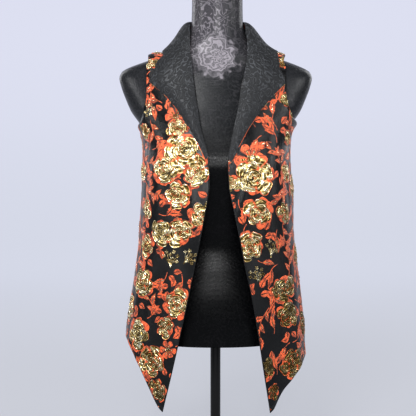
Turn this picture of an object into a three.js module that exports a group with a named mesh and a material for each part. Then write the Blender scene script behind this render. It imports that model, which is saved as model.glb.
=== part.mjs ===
// A sleeveless brocade vest with a shawl collar, on a limbless dress form and stand.
// Millimetres, +Z up, the front faces -Y. The origin is the centre of the base's underside.
// The vest's pieces are thin closed walls. Every point of a wall is found from an angle and a
// height on a soft oval body, then moved out along that body's normal.
import * as THREE from "three";

// ---- driving dimensions -------------------------------------------------------------------
const BROCADE_WALL = 1.8; // brocade with its lining
const COLLAR_WALL = 1.2; // one layer of the collar
const STAND_WALL = 2.2; // both layers of the collar's inner band
const SEAM_GAP = 0.3; // clear space between two sewn pieces
const FORM_CLEARANCE = 3.2; // from the form's cover to the inside of the vest

const FORM_BOTTOM = 262;
const NECK_TOP = 962;
const CAP_HEIGHT = 16;
const CAP_OVERHANG = 2.5;

const POLE_RADIUS = 10;
const BASE_RADIUS = 150;
const BASE_THICKNESS = 8;
const BASE_EDGE_ROUND = 3;
const SOCKET_RADIUS = 19;
const SOCKET_HEIGHT = 42;

const FORM_SIDES = 44;
const FRONT_COLUMNS = 13;
const BACK_COLUMNS = 26;
const COLLAR_COLUMNS = 7;
const STAND_COLUMNS = 20;
const ROUND_SIDES = 32;

// ---- tables -------------------------------------------------------------------------------
// The covered form, a ring for each height: half its width, how far it reaches to the front and
// to the back, how square the ring is (2 is an ellipse), and where its middle lies.
const FORM_RINGS = [
  // height, half, front, back, square, middleX, middleY
  [262, 157, 103, 109, 2.25, 0, 0],
  [300, 158, 102, 110, 2.25, 0, 0],
  [345, 151, 98, 105, 2.2, 0, 0],
  [400, 130, 89, 90, 2.15, 0, 0],
  [450, 112, 81, 79, 2.1, 0, 0],
  [500, 115, 86, 82, 2.15, 0, 0],
  [550, 127, 99, 91, 2.25, 0, 0],
  [600, 136, 108, 98, 2.3, 0, 0],
  [645, 136, 101, 103, 2.3, 0, 0],
  [665, 139, 97, 103.5, 2.3, 0, 0],
  [682, 149, 93, 104, 2.25, 0, 0],
  [705, 165, 88, 103, 2.2, 0, 0],
  [730, 176, 81, 100, 2.15, 0, 0],
  [752, 184, 75, 97, 2.1, 0, 0],
  [770, 188, 69, 92, 2.05, 0, 0],
  [782, 183, 65, 88, 2.0, 0, 1],
  [791, 167, 62, 84, 2.0, 0, 2],
  [799, 146, 59, 80, 2.0, 1, 3],
  [807, 123, 56, 77, 2.0, 1, 4],
  [817, 100, 54, 73, 2.0, 2, 5],
  [828, 81, 53, 68, 2.0, 2, 5],
  [842, 64, 52, 62, 2.0, 3, 5],
  [858, 54, 51, 58, 2.0, 3, 4],
  [880, 50, 50, 55, 2.0, 3, 2],
  [915, 49, 50, 53, 2.0, 3, 0],
  [962, 49, 51, 52, 2.0, 3, -3],
];

// The vest below the shoulders hangs clear of the form, so it has rings of its own: half the
// width on the -X and on the +X side, and the reach to the front and to the back.
const VEST_RINGS = [
  // height, halfMinusX, halfPlusX, front, back, square, middleX, middleY
  [140, 194, 192, 125, 126, 2.2, 0, 0],
  [200, 188, 184, 125, 123, 2.2, 0, 0],
  [232, 183, 178, 124, 121, 2.2, 0, 0],
  [270, 177, 175.5, 124, 119, 2.25, 0, 0],
  [312, 170, 172, 123, 117, 2.25, 0, 0],
  [332, 167, 169.5, 123, 116, 2.25, 0, 0],
  [392, 158, 161.5, 123, 113, 2.25, 0, 0],
  [442, 151, 155, 122, 111, 2.25, 0, 0],
  [490, 147.5, 151, 121, 110, 2.3, 0, 0],
  [532, 144.5, 150.5, 120, 108, 2.3, 0, 0],
  [600, 141.5, 145, 117, 108, 2.3, 0, 0],
  [630, 141, 144.5, 112, 108, 2.3, 0, 0],
  [660, 144, 147, 106, 108, 2.3, 0, 0],
  [685, 157, 159, 100, 109, 2.25, 0, 0],
  [708, 168, 170, 94, 108, 2.2, 0, 0],
];

// The bust, and the soft lengthwise folds that grow towards the hem.
const BUST_HEIGHT = 603;
const BUST_ANGLE = 37;
const BUST_SPREAD = 19;
const BUST_DEPTH = 9;
const BUST_REACH_UP = 52;
const BUST_REACH_DOWN_FORM = 46;
const BUST_REACH_DOWN_CLOTH = 150;
const FOLDS = [
  // angle from the front (minus is the -X side), width, depth at the hem, height where it starts
  [-62, 9, 3.5, 560],
  [-38, 7, -3.5, 480],
  [-20, 7, 3.0, 470],
  [58, 9, 3.5, 580],
  [40, 7, -3.5, 500],
  [24, 7, 2.5, 450],
  [-118, 12, 6.0, 560],
  [-150, 11, 5.0, 520],
  [172, 12, 6.0, 540],
  [140, 11, 5.0, 520],
  [114, 11, 6.0, 560],
];
const FOLD_HEM_HEIGHT = 200;

// The shoulder's firm end stands off the form: how far, the height of its crest, how far the rise
// reaches below and above it, and between which distances from the middle it grows.
const SHOULDER_RISE = { depth: 8, height: 808, below: 34, above: 20, from: 98, to: 124 };

// The edge of the front from the shoulder down the roll line to the break, then to the point.
const ROLL_EDGE_MINUS = [
  // share of the front's length, distance from the middle, height
  [0.0, 67, 840],
  [0.05, 53, 815],
  [0.12, 45, 782],
  [0.2, 40, 748],
  [0.28, 34.5, 708],
  [0.36, 29, 672],
  [0.42, 21.5, 644],
  [0.48, 13, 608],
  [0.55, 12, 566],
  [0.62, 18.5, 520],
  [0.69, 27, 474],
  [0.76, 38, 420],
  [0.83, 49.5, 362],
  [0.89, 63, 298],
  [0.95, 79.5, 224],
  [1.0, 99.3, 143.5],
];
const ROLL_EDGE_PLUS = [
  [0.0, 71, 838],
  [0.05, 58, 812],
  [0.12, 53.5, 780],
  [0.2, 45, 744],
  [0.28, 40, 708],
  [0.36, 33, 676],
  [0.42, 26.5, 645],
  [0.48, 20.5, 605],
  [0.55, 22, 566],
  [0.62, 31, 520],
  [0.69, 41, 472],
  [0.76, 51, 420],
  [0.83, 64, 362],
  [0.89, 75, 298],
  [0.95, 86.5, 224],
  [1.0, 100, 142],
];

// The outer edge of the front: armhole, underarm, side seam, hem corner.
const SIDE_EDGE = [
  // share of the length, angle on the body (90 is the side seam), height on -X, height on +X
  [0.05, 47, 790, 790],
  [0.12, 42.5, 770, 770],
  [0.2, 44.5, 738, 740],
  [0.28, 51, 708, 712],
  [0.34, 62, 686, 692],
  [0.4, 89.8, 664, 673],
  [0.48, 89.8, 612, 618],
  [0.55, 89.8, 566, 566],
  [0.62, 89.8, 520, 516],
  [0.69, 89.8, 474, 466],
  [0.76, 89.8, 426, 414],
  [0.83, 89.8, 378, 360],
  [0.89, 89.8, 336, 312],
  [0.95, 89.8, 300, 268],
  [1.0, 89.8, 268, 231],
];

// The front's slanted hem, from the point to the side seam.
const HEM_MINUS = [
  // share of the hem, distance from the middle, height
  [0.0, 100, 143.5],
  [0.12, 107.5, 150.5],
  [0.28, 118.5, 167.5],
  [0.44, 129.5, 190],
  [0.58, 139.5, 212.5],
  [0.7, 148.5, 231.5],
  [0.82, 157.5, 250],
  [0.92, 166.5, 261.5],
  [1.0, 177, 268],
];
const HEM_PLUS = [
  [0.0, 100.5, 142],
  [0.12, 107, 147],
  [0.28, 117, 163.5],
  [0.44, 128.5, 180.5],
  [0.58, 140, 194],
  [0.7, 149, 205.5],
  [0.82, 158.5, 215.5],
  [0.92, 167.5, 224],
  [1.0, 178, 231],
];

// The back's armhole and side seam.
const BACK_EDGE = [
  // share of the length, angle on the body, height on -X, height on +X
  [0.05, 50, 789, 789],
  [0.12, 45, 768, 768],
  [0.2, 48.5, 738, 740],
  [0.28, 57, 708, 712],
  [0.34, 67, 686, 692],
  [0.4, 89.8, 664, 673],
  [0.55, 89.8, 570, 572],
  [0.7, 89.8, 474, 466],
  [0.85, 89.8, 368, 350],
  [1.0, 89.8, 268, 231],
];
const BACK_NECK_SHARE = 0.4; // part of each half of the back's top edge that is the neck
const BACK_NECK_DROP = 14;
const BACK_CAP_ANGLE = 42; // the foot of the shoulder's round top, at the neck's end
const BACK_CAP_REACH = 58;
const BACK_CAP_DROP = 12;
const BACK_HEM_LIFT = 22; // the hem rises from the side seams to the middle of the back

// The collar, from the break up the roll line, round the neck, to the middle of the back.
// Its roll edge is given in space and its outer edge by an angle and a height on the vest.
// onBody 1 lies on the vest; onBody 0 stands free between its two edges.
const COLLAR_MINUS = [
  // rollX, rollY, rollZ, outAngle, outZ, onBody
  [14.5, 0, 616, 5.6, 610, 1],
  [17, 0, 629, 8.8, 629, 1],
  [22, 0, 647, 12.5, 650, 1],
  [28.5, 0, 671, 18.2, 678, 1],
  [33.5, 0, 703, 23.6, 705, 1],
  [38, 0, 731, 31.5, 734, 1],
  [40.2, 0, 748, 37.2, 749.5, 1],
  [41, 0, 754, 39.6, 755, 1],
  [41.8, 0, 760, 38.9, 760.5, 1],
  [44, -60, 780, 36.4, 778, 1],
  [47, -49, 811, 44.5, 801, 0.75],
  [49, -31, 841, 60, 812, 0.3],
  [51, 4, 871, 91, 832, 0],
  [42, 40, 879, 128, 821, 0],
  [20, 60, 883, 153, 812, 0],
  [0, 65, 884, 180, 799, 0],
];
const COLLAR_PLUS = [
  [21.5, 0, 612, 7.9, 606, 1],
  [23, 0, 625, 11.3, 625, 1],
  [27, 0, 647, 15.6, 647, 1],
  [33, 0, 677, 22.3, 680, 1],
  [40, 0, 708, 28.2, 707, 1],
  [44.5, 0, 736, 35.6, 733, 1],
  [48.5, 0, 755, 40.2, 748.5, 1],
  [49.5, 0, 760, 42, 753, 1],
  [50.3, 0, 764, 41.3, 758.5, 1],
  [54, -60, 782, 38.5, 779, 1],
  [57, -46, 805, 47.5, 797, 0.75],
  [58.5, -30, 836, 64, 808, 0.3],
  [57.5, 4, 870, 91, 823.5, 0],
  [46, 40, 879, 128, 818, 0],
  [22, 60, 883, 153, 811, 0],
  [0, 65, 884, 180, 799, 0],
];
const COLLAR_ROWS_EACH = 2; // rows of the mesh between two rows of a table
const COLLAR_FIRST_LIFT = 1.2; // from the front's outside to the under collar
const COLLAR_LAPEL_BELLY = 5; // how far the middle of a lapel stands off the front
const COLLAR_FOLD_OUT = 9.5;
const COLLAR_FOLD_UP = 4;
const UNDER_COLLAR_PROUD = 1.3; // how far the brocade shows past the facing's edge
const UNDER_COLLAR_START = 0.12; // share of the collar's width that the fold leaves clear
const COLLAR_LAYER_GAP = 1.5; // between the two layers of the collar
const COLLAR_EDGE_LIFT = 3.2; // how far the free fall's edge stands above the vest
const COLLAR_FOLD_CROWD = 1.4; // above 1 the mesh is finer at the fold
const CENTRE_BACK_GAP = 0.15;

// The inner band, from the neck seam to just under the fold.
const STAND_PATH = [
  // turn round the neck from the back, seam height, band height
  [-112, 848, 5],
  [-95, 851, 14],
  [-70, 850, 19],
  [-35, 844, 30],
  [0, 841, 36],
  [35, 844, 30],
  [70, 850, 19],
  [95, 851, 14],
  [112, 848, 5],
];
const STAND_LIFT = 1.8;

// ---- small mathematics ----------------------------------------------------------------------
const DEGREE = Math.PI / 180;
const mix = (a, b, t) => a + (b - a) * t;
const clamp01 = (t) => Math.min(1, Math.max(0, t));
const smooth = (t) => clamp01(t) ** 2 * (3 - 2 * clamp01(t));

/** The row of a table at `key`, its first column, joined smoothly and without overshoot. */
function rowAt(table, key) {
  const last = table.length - 1;
  const at = Math.min(Math.max(key, table[0][0]), table[last][0]);
  let i = 0;
  while (i < last - 1 && at > table[i + 1][0]) i += 1;
  const span = table[i + 1][0] - table[i][0];
  const t = (at - table[i][0]) / span;
  const slope = (j, c) => {
    const before = (table[j][c] - table[j - 1][c]) / (table[j][0] - table[j - 1][0]);
    const after = (table[j + 1][c] - table[j][c]) / (table[j + 1][0] - table[j][0]);
    return before * after <= 0 ? 0 : (2 * before * after) / (before + after);
  };
  const edge = (j, c) => {
    if (j > 0 && j < last) return slope(j, c);
    const k = j === 0 ? 1 : last;
    return (table[k][c] - table[k - 1][c]) / (table[k][0] - table[k - 1][0]);
  };
  const t2 = t * t;
  const t3 = t2 * t;
  return table[i].map((value, c) =>
    c === 0
      ? at
      : (2 * t3 - 3 * t2 + 1) * value +
        (t3 - 2 * t2 + t) * span * edge(i, c) +
        (3 * t2 - 2 * t3) * table[i + 1][c] +
        (t3 - t2) * span * edge(i + 1, c),
  );
}

// ---- the body's surface -----------------------------------------------------------------------
function formRing(height) {
  const [, half, front, back, square, middleX, middleY] = rowAt(FORM_RINGS, height);
  return { halfMinus: half, halfPlus: half, front, back, square, middleX, middleY };
}

const WIDEST_HEIGHT = 772;
const NECK_FOOT_HEIGHT = 866;
const SHOULDER_START = 708;
const SHOULDER_BLEND = 40;

/** The inside of the vest: its own rings below, the form and a clearance above. */
function vestRing(height) {
  const form = formRing(height);
  const near = {
    halfMinus: form.halfMinus + FORM_CLEARANCE,
    halfPlus: form.halfPlus + FORM_CLEARANCE,
    front: form.front + FORM_CLEARANCE,
    back: form.back + FORM_CLEARANCE,
    square: form.square,
    middleX: form.middleX,
    middleY: form.middleY,
  };
  const [, halfMinus, halfPlus, front, back, square, middleX, middleY] = rowAt(VEST_RINGS, height);
  const own = { halfMinus, halfPlus, front, back, square, middleX, middleY };
  const t = smooth((height - (SHOULDER_START - SHOULDER_BLEND)) / (2 * SHOULDER_BLEND));
  const ring = {};
  for (const key of Object.keys(own)) ring[key] = mix(own[key], near[key], t);
  return ring;
}

/** How far the bust stands out, at an angle from the front and a height. */
function bust(angle, height, reachDown) {
  const reach = height > BUST_HEIGHT ? BUST_REACH_UP : reachDown;
  const along = Math.exp(-(((height - BUST_HEIGHT) / reach) ** 2));
  const across = Math.exp(-(((Math.abs(angle) - BUST_ANGLE) / BUST_SPREAD) ** 2));
  return BUST_DEPTH * along * across;
}

/** The soft folds: nothing at the bust, deepest at the hem. */
function folds(angle, height) {
  let depth = 0;
  for (const [middle, width, hemDepth, start] of FOLDS) {
    const off = ((angle - middle + 540) % 360) - 180;
    const grown = smooth((start - height) / (start - FOLD_HEM_HEIGHT));
    depth += hemDepth * Math.exp(-((off / width) ** 2)) * grown;
  }
  return depth;
}

/** How far the shoulder stands off the form. */
function shoulderRise(angle, height) {
  const { depth, height: crest, below, above, from, to } = SHOULDER_RISE;
  if (height < crest - below || height > crest + above) return 0;
  const off = height < crest ? (crest - height) / below : (height - crest) / above;
  const ring = vestRing(height);
  const distance = ring.halfPlus * Math.abs(Math.sin(angle * DEGREE)) ** (2 / ring.square);
  return depth * (1 - smooth(off)) * smooth((distance - from) / (to - from));
}

/** A point on a ring surface, at an angle from the front (-90 is -X, 90 is +X), moved out. */
function onRing(ringAt, angle, height, lift) {
  const ring = ringAt(height);
  const above = ringAt(height + 1);
  const side = Math.sin(angle * DEGREE);
  const ahead = Math.cos(angle * DEGREE);
  const halfOf = (r) => (side < 0 ? r.halfMinus : r.halfPlus);
  const depthOf = (r) => (ahead > 0 ? r.front : r.back);
  const half = halfOf(ring);
  const depth = depthOf(ring);
  const across = Math.abs(side) ** (2 / ring.square);
  const along = Math.abs(ahead) ** (2 / ring.square);
  const nx = across ** (ring.square - 1) / half;
  const ny = along ** (ring.square - 1) / depth;
  const widen = (halfOf(above) - half) / half;
  const deepen = (depthOf(above) - depth) / depth;
  const nz = -(across ** ring.square) * widen - along ** ring.square * deepen;
  const normal = new THREE.Vector3(nx * Math.sign(side), -ny * Math.sign(ahead), nz).normalize();
  return new THREE.Vector3(
    ring.middleX + half * across * Math.sign(side),
    ring.middleY - depth * along * Math.sign(ahead),
    height,
  ).addScaledVector(normal, lift);
}

const onForm = (angle, height, lift = 0) =>
  onRing(formRing, angle, height, lift + bust(angle, height, BUST_REACH_DOWN_FORM));

const onVest = (angle, height, lift = 0) =>
  onRing(
    vestRing,
    angle,
    height,
    lift + bust(angle, height, BUST_REACH_DOWN_CLOTH) + folds(angle, height) + shoulderRise(angle, height),
  );

/** The angle at which the vest's front lies at distance x from the middle, at a height. */
function angleAt(x, height) {
  const ring = vestRing(height);
  const half = x < 0 ? ring.halfMinus : ring.halfPlus;
  const share = Math.min(1, Math.abs(x - ring.middleX) / half);
  return (Math.sign(x) * Math.asin(share ** (ring.square / 2))) / DEGREE;
}

/** The height above the shoulder's widest ring where an angle lies this far from the middle. */
function heightFor(distance, angle, side) {
  let low = WIDEST_HEIGHT;
  let high = NECK_FOOT_HEIGHT;
  for (let i = 0; i < 40; i += 1) {
    const middle = (low + high) / 2;
    const ring = vestRing(middle);
    const half = side < 0 ? ring.halfMinus : ring.halfPlus;
    const reach = half * Math.sin(angle * DEGREE) ** (2 / ring.square) + side * ring.middleX;
    if (reach > distance) low = middle;
    else high = middle;
  }
  return low;
}

// ---- closed walls -------------------------------------------------------------------------------
/** A wall between two grids of points, outer[row][column] and inner[row][column]. */
function wallBetween(outer, inner) {
  const rows = outer.length;
  const columns = outer[0].length;
  const points = [];
  const faces = [];
  for (const grid of [outer, inner]) {
    for (const row of grid) {
      for (const p of row) points.push(p.x, p.y, p.z);
    }
  }
  const at = (layer, r, c) => layer * rows * columns + r * columns + c;
  const quad = (a, b, c, d) => faces.push(a, b, c, a, c, d);
  for (let r = 0; r < rows - 1; r += 1) {
    for (let c = 0; c < columns - 1; c += 1) {
      quad(at(0, r, c), at(0, r + 1, c), at(0, r + 1, c + 1), at(0, r, c + 1));
      quad(at(1, r, c), at(1, r, c + 1), at(1, r + 1, c + 1), at(1, r + 1, c));
    }
  }
  for (let r = 0; r < rows - 1; r += 1) {
    const end = columns - 1;
    quad(at(0, r, 0), at(1, r, 0), at(1, r + 1, 0), at(0, r + 1, 0));
    quad(at(0, r + 1, end), at(1, r + 1, end), at(1, r, end), at(0, r, end));
  }
  for (let c = 0; c < columns - 1; c += 1) {
    quad(at(0, 0, c + 1), at(1, 0, c + 1), at(1, 0, c), at(0, 0, c));
    const foot = rows - 1;
    quad(at(0, foot, c), at(1, foot, c), at(1, foot, c + 1), at(0, foot, c + 1));
  }
  return closedGeometry(points, faces);
}

/** A geometry from points and triangles, turned right side out. */
function closedGeometry(points, faces) {
  let volume = 0;
  const p = (i) => new THREE.Vector3(points[3 * i], points[3 * i + 1], points[3 * i + 2]);
  for (let i = 0; i < faces.length; i += 3) {
    volume += p(faces[i]).dot(p(faces[i + 1]).cross(p(faces[i + 2])));
  }
  const turned = [];
  for (let i = 0; i < faces.length; i += 3) {
    if (volume > 0) turned.push(faces[i], faces[i + 1], faces[i + 2]);
    else turned.push(faces[i], faces[i + 2], faces[i + 1]);
  }
  const geometry = new THREE.BufferGeometry();
  geometry.setAttribute("position", new THREE.Float32BufferAttribute(points, 3));
  geometry.setIndex(turned);
  geometry.computeVertexNormals();
  return geometry;
}

/** A wall on the vest: place(s, t) gives an angle and a height, t taking each of the rows. */
function clothWall(rows, columns, place, lift, thickness) {
  const grid = (out) =>
    rows.map((t) => [...Array(columns + 1).keys()].map((c) => onVest(...place(c / columns, t), out)));
  return wallBetween(grid(lift + thickness), grid(lift));
}

// ---- front, back --------------------------------------------------------------------------------
const CAP_ROWS = 6; // rows over the shoulder's round top
const CAP_SHARE = 0.05; // share of the length where the armhole and neck tables begin
const ROW_SHARES = [
  0.05, 0.085, 0.12, 0.16, 0.2, 0.24, 0.28, 0.31, 0.34, 0.37, 0.4, 0.44, 0.48, 0.515, 0.55, 0.59,
  0.64, 0.69, 0.74, 0.79, 0.84, 0.89, 0.945, 1,
];
const SEAM_ANGLE = 89.8;
const SHOULDER_ANGLE = 88.4;
const CORNER_REACH = { minus: 128, plus: 133 }; // from the middle to the shoulder's corner

/** A patch between four edges, each a function giving [angle, height]. */
function patch(top, bottom, first, second, s, t) {
  return [0, 1].map(
    (i) =>
      mix(top(s)[i], bottom(s)[i], t) +
      mix(first(t)[i], second(t)[i], s) -
      mix(mix(top(0)[i], top(1)[i], s), mix(bottom(0)[i], bottom(1)[i], s), t),
  );
}

/** How the top of a panel runs over the shoulder: u across, t from the seam to the cap's foot. */
function shoulderCap(side, footInner, footOuter) {
  const rollEdge = side < 0 ? ROLL_EDGE_MINUS : ROLL_EDGE_PLUS;
  const neck = rollEdge[0][1];
  const corner = side < 0 ? CORNER_REACH.minus : CORNER_REACH.plus;
  const reachOf = ([angle, height]) => {
    const ring = vestRing(height);
    const half = side < 0 ? ring.halfMinus : ring.halfPlus;
    return half * Math.sin(angle * DEGREE) ** (2 / ring.square) + side * ring.middleX;
  };
  return (u, t) => {
    const reach = mix(mix(neck, corner, u), mix(reachOf(footInner), reachOf(footOuter), u), t);
    const angle = mix(SHOULDER_ANGLE, mix(footInner[0], footOuter[0], u), t);
    return [angle, heightFor(reach, angle, side)];
  };
}

/** The angle and height of a point of a front: s from the roll line to the side, t down. */
function frontPlace(side) {
  const rollEdge = side < 0 ? ROLL_EDGE_MINUS : ROLL_EDGE_PLUS;
  const hem = side < 0 ? HEM_MINUS : HEM_PLUS;
  const heightColumn = side < 0 ? 2 : 3;
  const first = (t) => {
    const [, distance, height] = rowAt(rollEdge, mix(CAP_SHARE, 1, t));
    return [Math.abs(angleAt(side * distance, height)), height];
  };
  const second = (t) => {
    const row = rowAt(SIDE_EDGE, mix(CAP_SHARE, 1, t));
    return [row[1], row[heightColumn]];
  };
  const cap = shoulderCap(side, first(0), second(0));
  const bottom = (s) => {
    const [, distance, height] = rowAt(hem, s);
    const angle = Math.abs(angleAt(side * distance, height));
    return [s > 0.999 ? SEAM_ANGLE : Math.min(angle, SEAM_ANGLE), height];
  };
  const top = (s) => cap(s, 1);
  return (s, t) => {
    if (t < CAP_SHARE) {
      const [angle, height] = cap(s, t / CAP_SHARE);
      return [side * angle, height];
    }
    const down = (t - CAP_SHARE) / (1 - CAP_SHARE);
    const [angle, height] = patch(top, bottom, first, second, s, down);
    return [side * Math.min(angle, SEAM_ANGLE), height];
  };
}

/** The angle and height of a point of the back: s from the +X side to the -X side, t down. */
function backPlace() {
  const half = (side) => {
    const column = side < 0 ? 2 : 3;
    const edge = (t) => {
      const row = rowAt(BACK_EDGE, mix(CAP_SHARE, 1, t));
      return [row[1], row[column]];
    };
    const hemSide = BACK_EDGE[BACK_EDGE.length - 1][column];
    const hemMiddle = BACK_EDGE[BACK_EDGE.length - 1][2] + BACK_HEM_LIFT;
    const foot = [BACK_CAP_ANGLE, heightFor(BACK_CAP_REACH, BACK_CAP_ANGLE, side)];
    const cap = shoulderCap(side, foot, edge(0));
    const neckSeam = cap(0, 0)[1];
    const footMiddle = foot[1] - BACK_CAP_DROP;
    const middle = (t) => [0, mix(footMiddle, hemMiddle, t)];
    const bottom = (u) => [SEAM_ANGLE * u, mix(hemMiddle, hemSide, smooth(u))];
    const shoulder = (u) => (u - BACK_NECK_SHARE) / (1 - BACK_NECK_SHARE);
    const top = (u) => {
      if (u >= BACK_NECK_SHARE) return cap(shoulder(u), 1);
      const share = u / BACK_NECK_SHARE;
      return [foot[0] * share, mix(footMiddle, foot[1], share ** 2)];
    };
    const neckPlace = (share, t) => {
      const seamHeight = neckSeam - BACK_NECK_DROP * Math.cos(share * 90 * DEGREE);
      const atShoulder = cap(0, t)[1] - mix(neckSeam, foot[1], t);
      const [footAngle, footHeight] = top(share * BACK_NECK_SHARE);
      return [
        mix(SHOULDER_ANGLE * share, footAngle, t),
        mix(seamHeight, footHeight, t) + share ** 2 * atShoulder,
      ];
    };
    return (u, t) => {
      if (t >= CAP_SHARE) return patch(top, bottom, middle, edge, u, (t - CAP_SHARE) / (1 - CAP_SHARE));
      if (u < BACK_NECK_SHARE) return neckPlace(u / BACK_NECK_SHARE, t / CAP_SHARE);
      return cap(shoulder(u), t / CAP_SHARE);
    };
  };
  const minus = half(-1);
  const plus = half(1);
  return (s, t) => {
    const signed = 1 - 2 * s;
    const [angle, height] = signed < 0 ? minus(-signed, t) : plus(signed, t);
    const turned = 180 - Math.min(angle, SEAM_ANGLE);
    return [signed < 0 ? -turned : turned, height];
  };
}

const PANEL_ROWS = [...Array(CAP_ROWS).keys()].map((i) => (CAP_SHARE * i) / CAP_ROWS).concat(ROW_SHARES);

const frontWall = (side) => clothWall(PANEL_ROWS, FRONT_COLUMNS, frontPlace(side), 0, BROCADE_WALL);
const backWall = () => clothWall(PANEL_ROWS, BACK_COLUMNS, backPlace(), 0, BROCADE_WALL);

// ---- collar ---------------------------------------------------------------------------------------
/** The collar's free fold, from its roll edge over and down to its outer edge. */
function foldPoint(roll, out, h) {
  const away = out.clone().sub(roll).setZ(0).normalize();
  const control = roll.clone().addScaledVector(away, COLLAR_FOLD_OUT);
  control.z += COLLAR_FOLD_UP;
  return roll
    .clone()
    .multiplyScalar((1 - h) ** 2)
    .addScaledVector(control, 2 * h * (1 - h))
    .addScaledVector(out, h * h);
}

/** A point of the collar: v from the break to the centre back, h across, moved out by lift. */
function collarPoint(side, v, h, lift) {
  const table = side < 0 ? COLLAR_MINUS : COLLAR_PLUS;
  const keyed = table.map((row, i) => [i / (table.length - 1), ...row]);
  const edges = (at) => {
    const [, rollX, rollY, rollZ, outAngle, outZ, onBody] = rowAt(keyed, at);
    const roll = new THREE.Vector3(rollX * side, rollY, rollZ);
    return { roll, outAngle, outZ, onBody, out: onVest(side * outAngle, outZ, COLLAR_EDGE_LIFT) };
  };
  const { roll, outAngle, outZ, onBody, out } = edges(v);
  const belly = COLLAR_LAPEL_BELLY * Math.sin(Math.PI * clamp01(h)) * smooth(v / 0.3);
  const rollAngle = Math.abs(angleAt(roll.x, roll.z));
  const angle = mix(rollAngle, outAngle, h);
  const laid = onVest(side * angle, mix(roll.z, outZ, h), lift + belly * onBody);
  if (onBody > 0.999) return laid;
  const free = foldPoint(roll, out, h);
  const step = 0.01;
  const across = foldPoint(roll, out, h + step).sub(free);
  const beside = edges(v + (v > 0.5 ? -step : step));
  const along = foldPoint(beside.roll, beside.out, h).sub(free);
  const normal = across.cross(along).normalize();
  const away = out.clone().sub(roll).setZ(0).normalize();
  if (normal.z + normal.dot(away) < 0) normal.negate();
  return free.addScaledVector(normal, lift).lerp(laid, smooth(onBody));
}

function collarWall(side, startShare, proud, lift, thickness) {
  const rows = (COLLAR_MINUS.length - 1) * COLLAR_ROWS_EACH;
  const outer = [];
  const inner = [];
  for (let r = 0; r <= rows; r += 1) {
    outer.push([]);
    inner.push([]);
    const v = r / rows;
    const width = collarPoint(side, v, 0, 0).distanceTo(collarPoint(side, v, 1, 0));
    const end = 1 + proud / Math.max(width, 6);
    for (let c = 0; c <= COLLAR_COLUMNS; c += 1) {
      const h = mix(startShare, end, (c / COLLAR_COLUMNS) ** COLLAR_FOLD_CROWD);
      inner[r].push(collarPoint(side, v, h, lift));
      outer[r].push(collarPoint(side, v, h, lift + thickness));
    }
  }
  for (const grid of [inner, outer]) {
    for (const p of grid[rows]) p.x = side * CENTRE_BACK_GAP;
  }
  return wallBetween(outer, inner);
}

const UNDER_LIFT = BROCADE_WALL + COLLAR_FIRST_LIFT;
const UPPER_LIFT = UNDER_LIFT + COLLAR_WALL + COLLAR_LAYER_GAP;

const underCollar = (side) =>
  collarWall(side, UNDER_COLLAR_START, UNDER_COLLAR_PROUD, UNDER_LIFT, COLLAR_WALL);
const upperCollar = (side) => collarWall(side, 0, 0, UPPER_LIFT, COLLAR_WALL);

/** The band inside the roll, round the sides and the back of the neck. */
function standWall() {
  const outer = [];
  const inner = [];
  const first = STAND_PATH[0][0];
  const last = STAND_PATH[STAND_PATH.length - 1][0];
  const rows = 3;
  for (let r = 0; r <= rows; r += 1) {
    outer.push([]);
    inner.push([]);
    for (let c = 0; c <= STAND_COLUMNS; c += 1) {
      const turn = mix(first, last, c / STAND_COLUMNS);
      const [, seam, tall] = rowAt(STAND_PATH, turn);
      const height = seam + tall * (r / rows);
      const angle = 180 - turn;
      inner[r].push(onForm(angle, height, STAND_LIFT));
      outer[r].push(onForm(angle, height, STAND_LIFT + STAND_WALL));
    }
  }
  return wallBetween(outer, inner);
}

// ---- form and stand ---------------------------------------------------------------------------------
const FORM_HEIGHTS = [
  262, 290, 320, 350, 385, 420, 450, 480, 515, 550, 575, 600, 625, 650, 675, 700, 725, 748, 765,
  776, 784, 791, 798, 806, 815, 826, 840, 856, 876, 905, 935, 962,
];

function formBody() {
  const points = [];
  const faces = [];
  for (const height of FORM_HEIGHTS) {
    for (let i = 0; i < FORM_SIDES; i += 1) {
      const p = onForm((360 * i) / FORM_SIDES - 180, height);
      points.push(p.x, p.y, height);
    }
  }
  const rings = FORM_HEIGHTS.length;
  const ringPoint = (r, i) => r * FORM_SIDES + (i % FORM_SIDES);
  for (let r = 0; r < rings - 1; r += 1) {
    for (let i = 0; i < FORM_SIDES; i += 1) {
      faces.push(ringPoint(r, i), ringPoint(r, i + 1), ringPoint(r + 1, i + 1));
      faces.push(ringPoint(r, i), ringPoint(r + 1, i + 1), ringPoint(r + 1, i));
    }
  }
  const low = formRing(FORM_HEIGHTS[0]);
  const high = formRing(FORM_HEIGHTS[rings - 1]);
  points.push(low.middleX, low.middleY, FORM_HEIGHTS[0]);
  points.push(high.middleX, high.middleY, FORM_HEIGHTS[rings - 1]);
  const lowMiddle = rings * FORM_SIDES;
  for (let i = 0; i < FORM_SIDES; i += 1) {
    faces.push(lowMiddle, ringPoint(0, i + 1), ringPoint(0, i));
    faces.push(lowMiddle + 1, ringPoint(rings - 1, i), ringPoint(rings - 1, i + 1));
  }
  return closedGeometry(points, faces);
}

/** A turned solid from its half outline, standing on +Z. */
function turned(outline, sides = ROUND_SIDES) {
  const lathe = new THREE.LatheGeometry(outline.map(([r, z]) => new THREE.Vector2(r, z)), sides);
  lathe.rotateX(Math.PI / 2);
  return lathe;
}

function neckCap() {
  const ring = formRing(NECK_TOP);
  const radius = ring.halfPlus + CAP_OVERHANG;
  const geometry = turned([
    [0, 0],
    [radius - 1, 0],
    [radius, 2],
    [radius, 6],
    [radius * 0.93, 11],
    [radius * 0.6, CAP_HEIGHT - 1.5],
    [0, CAP_HEIGHT],
  ]);
  geometry.scale(1, (ring.front + CAP_OVERHANG) / radius, 1);
  geometry.translate(ring.middleX, ring.middleY, NECK_TOP + SEAM_GAP);
  return geometry;
}

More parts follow.
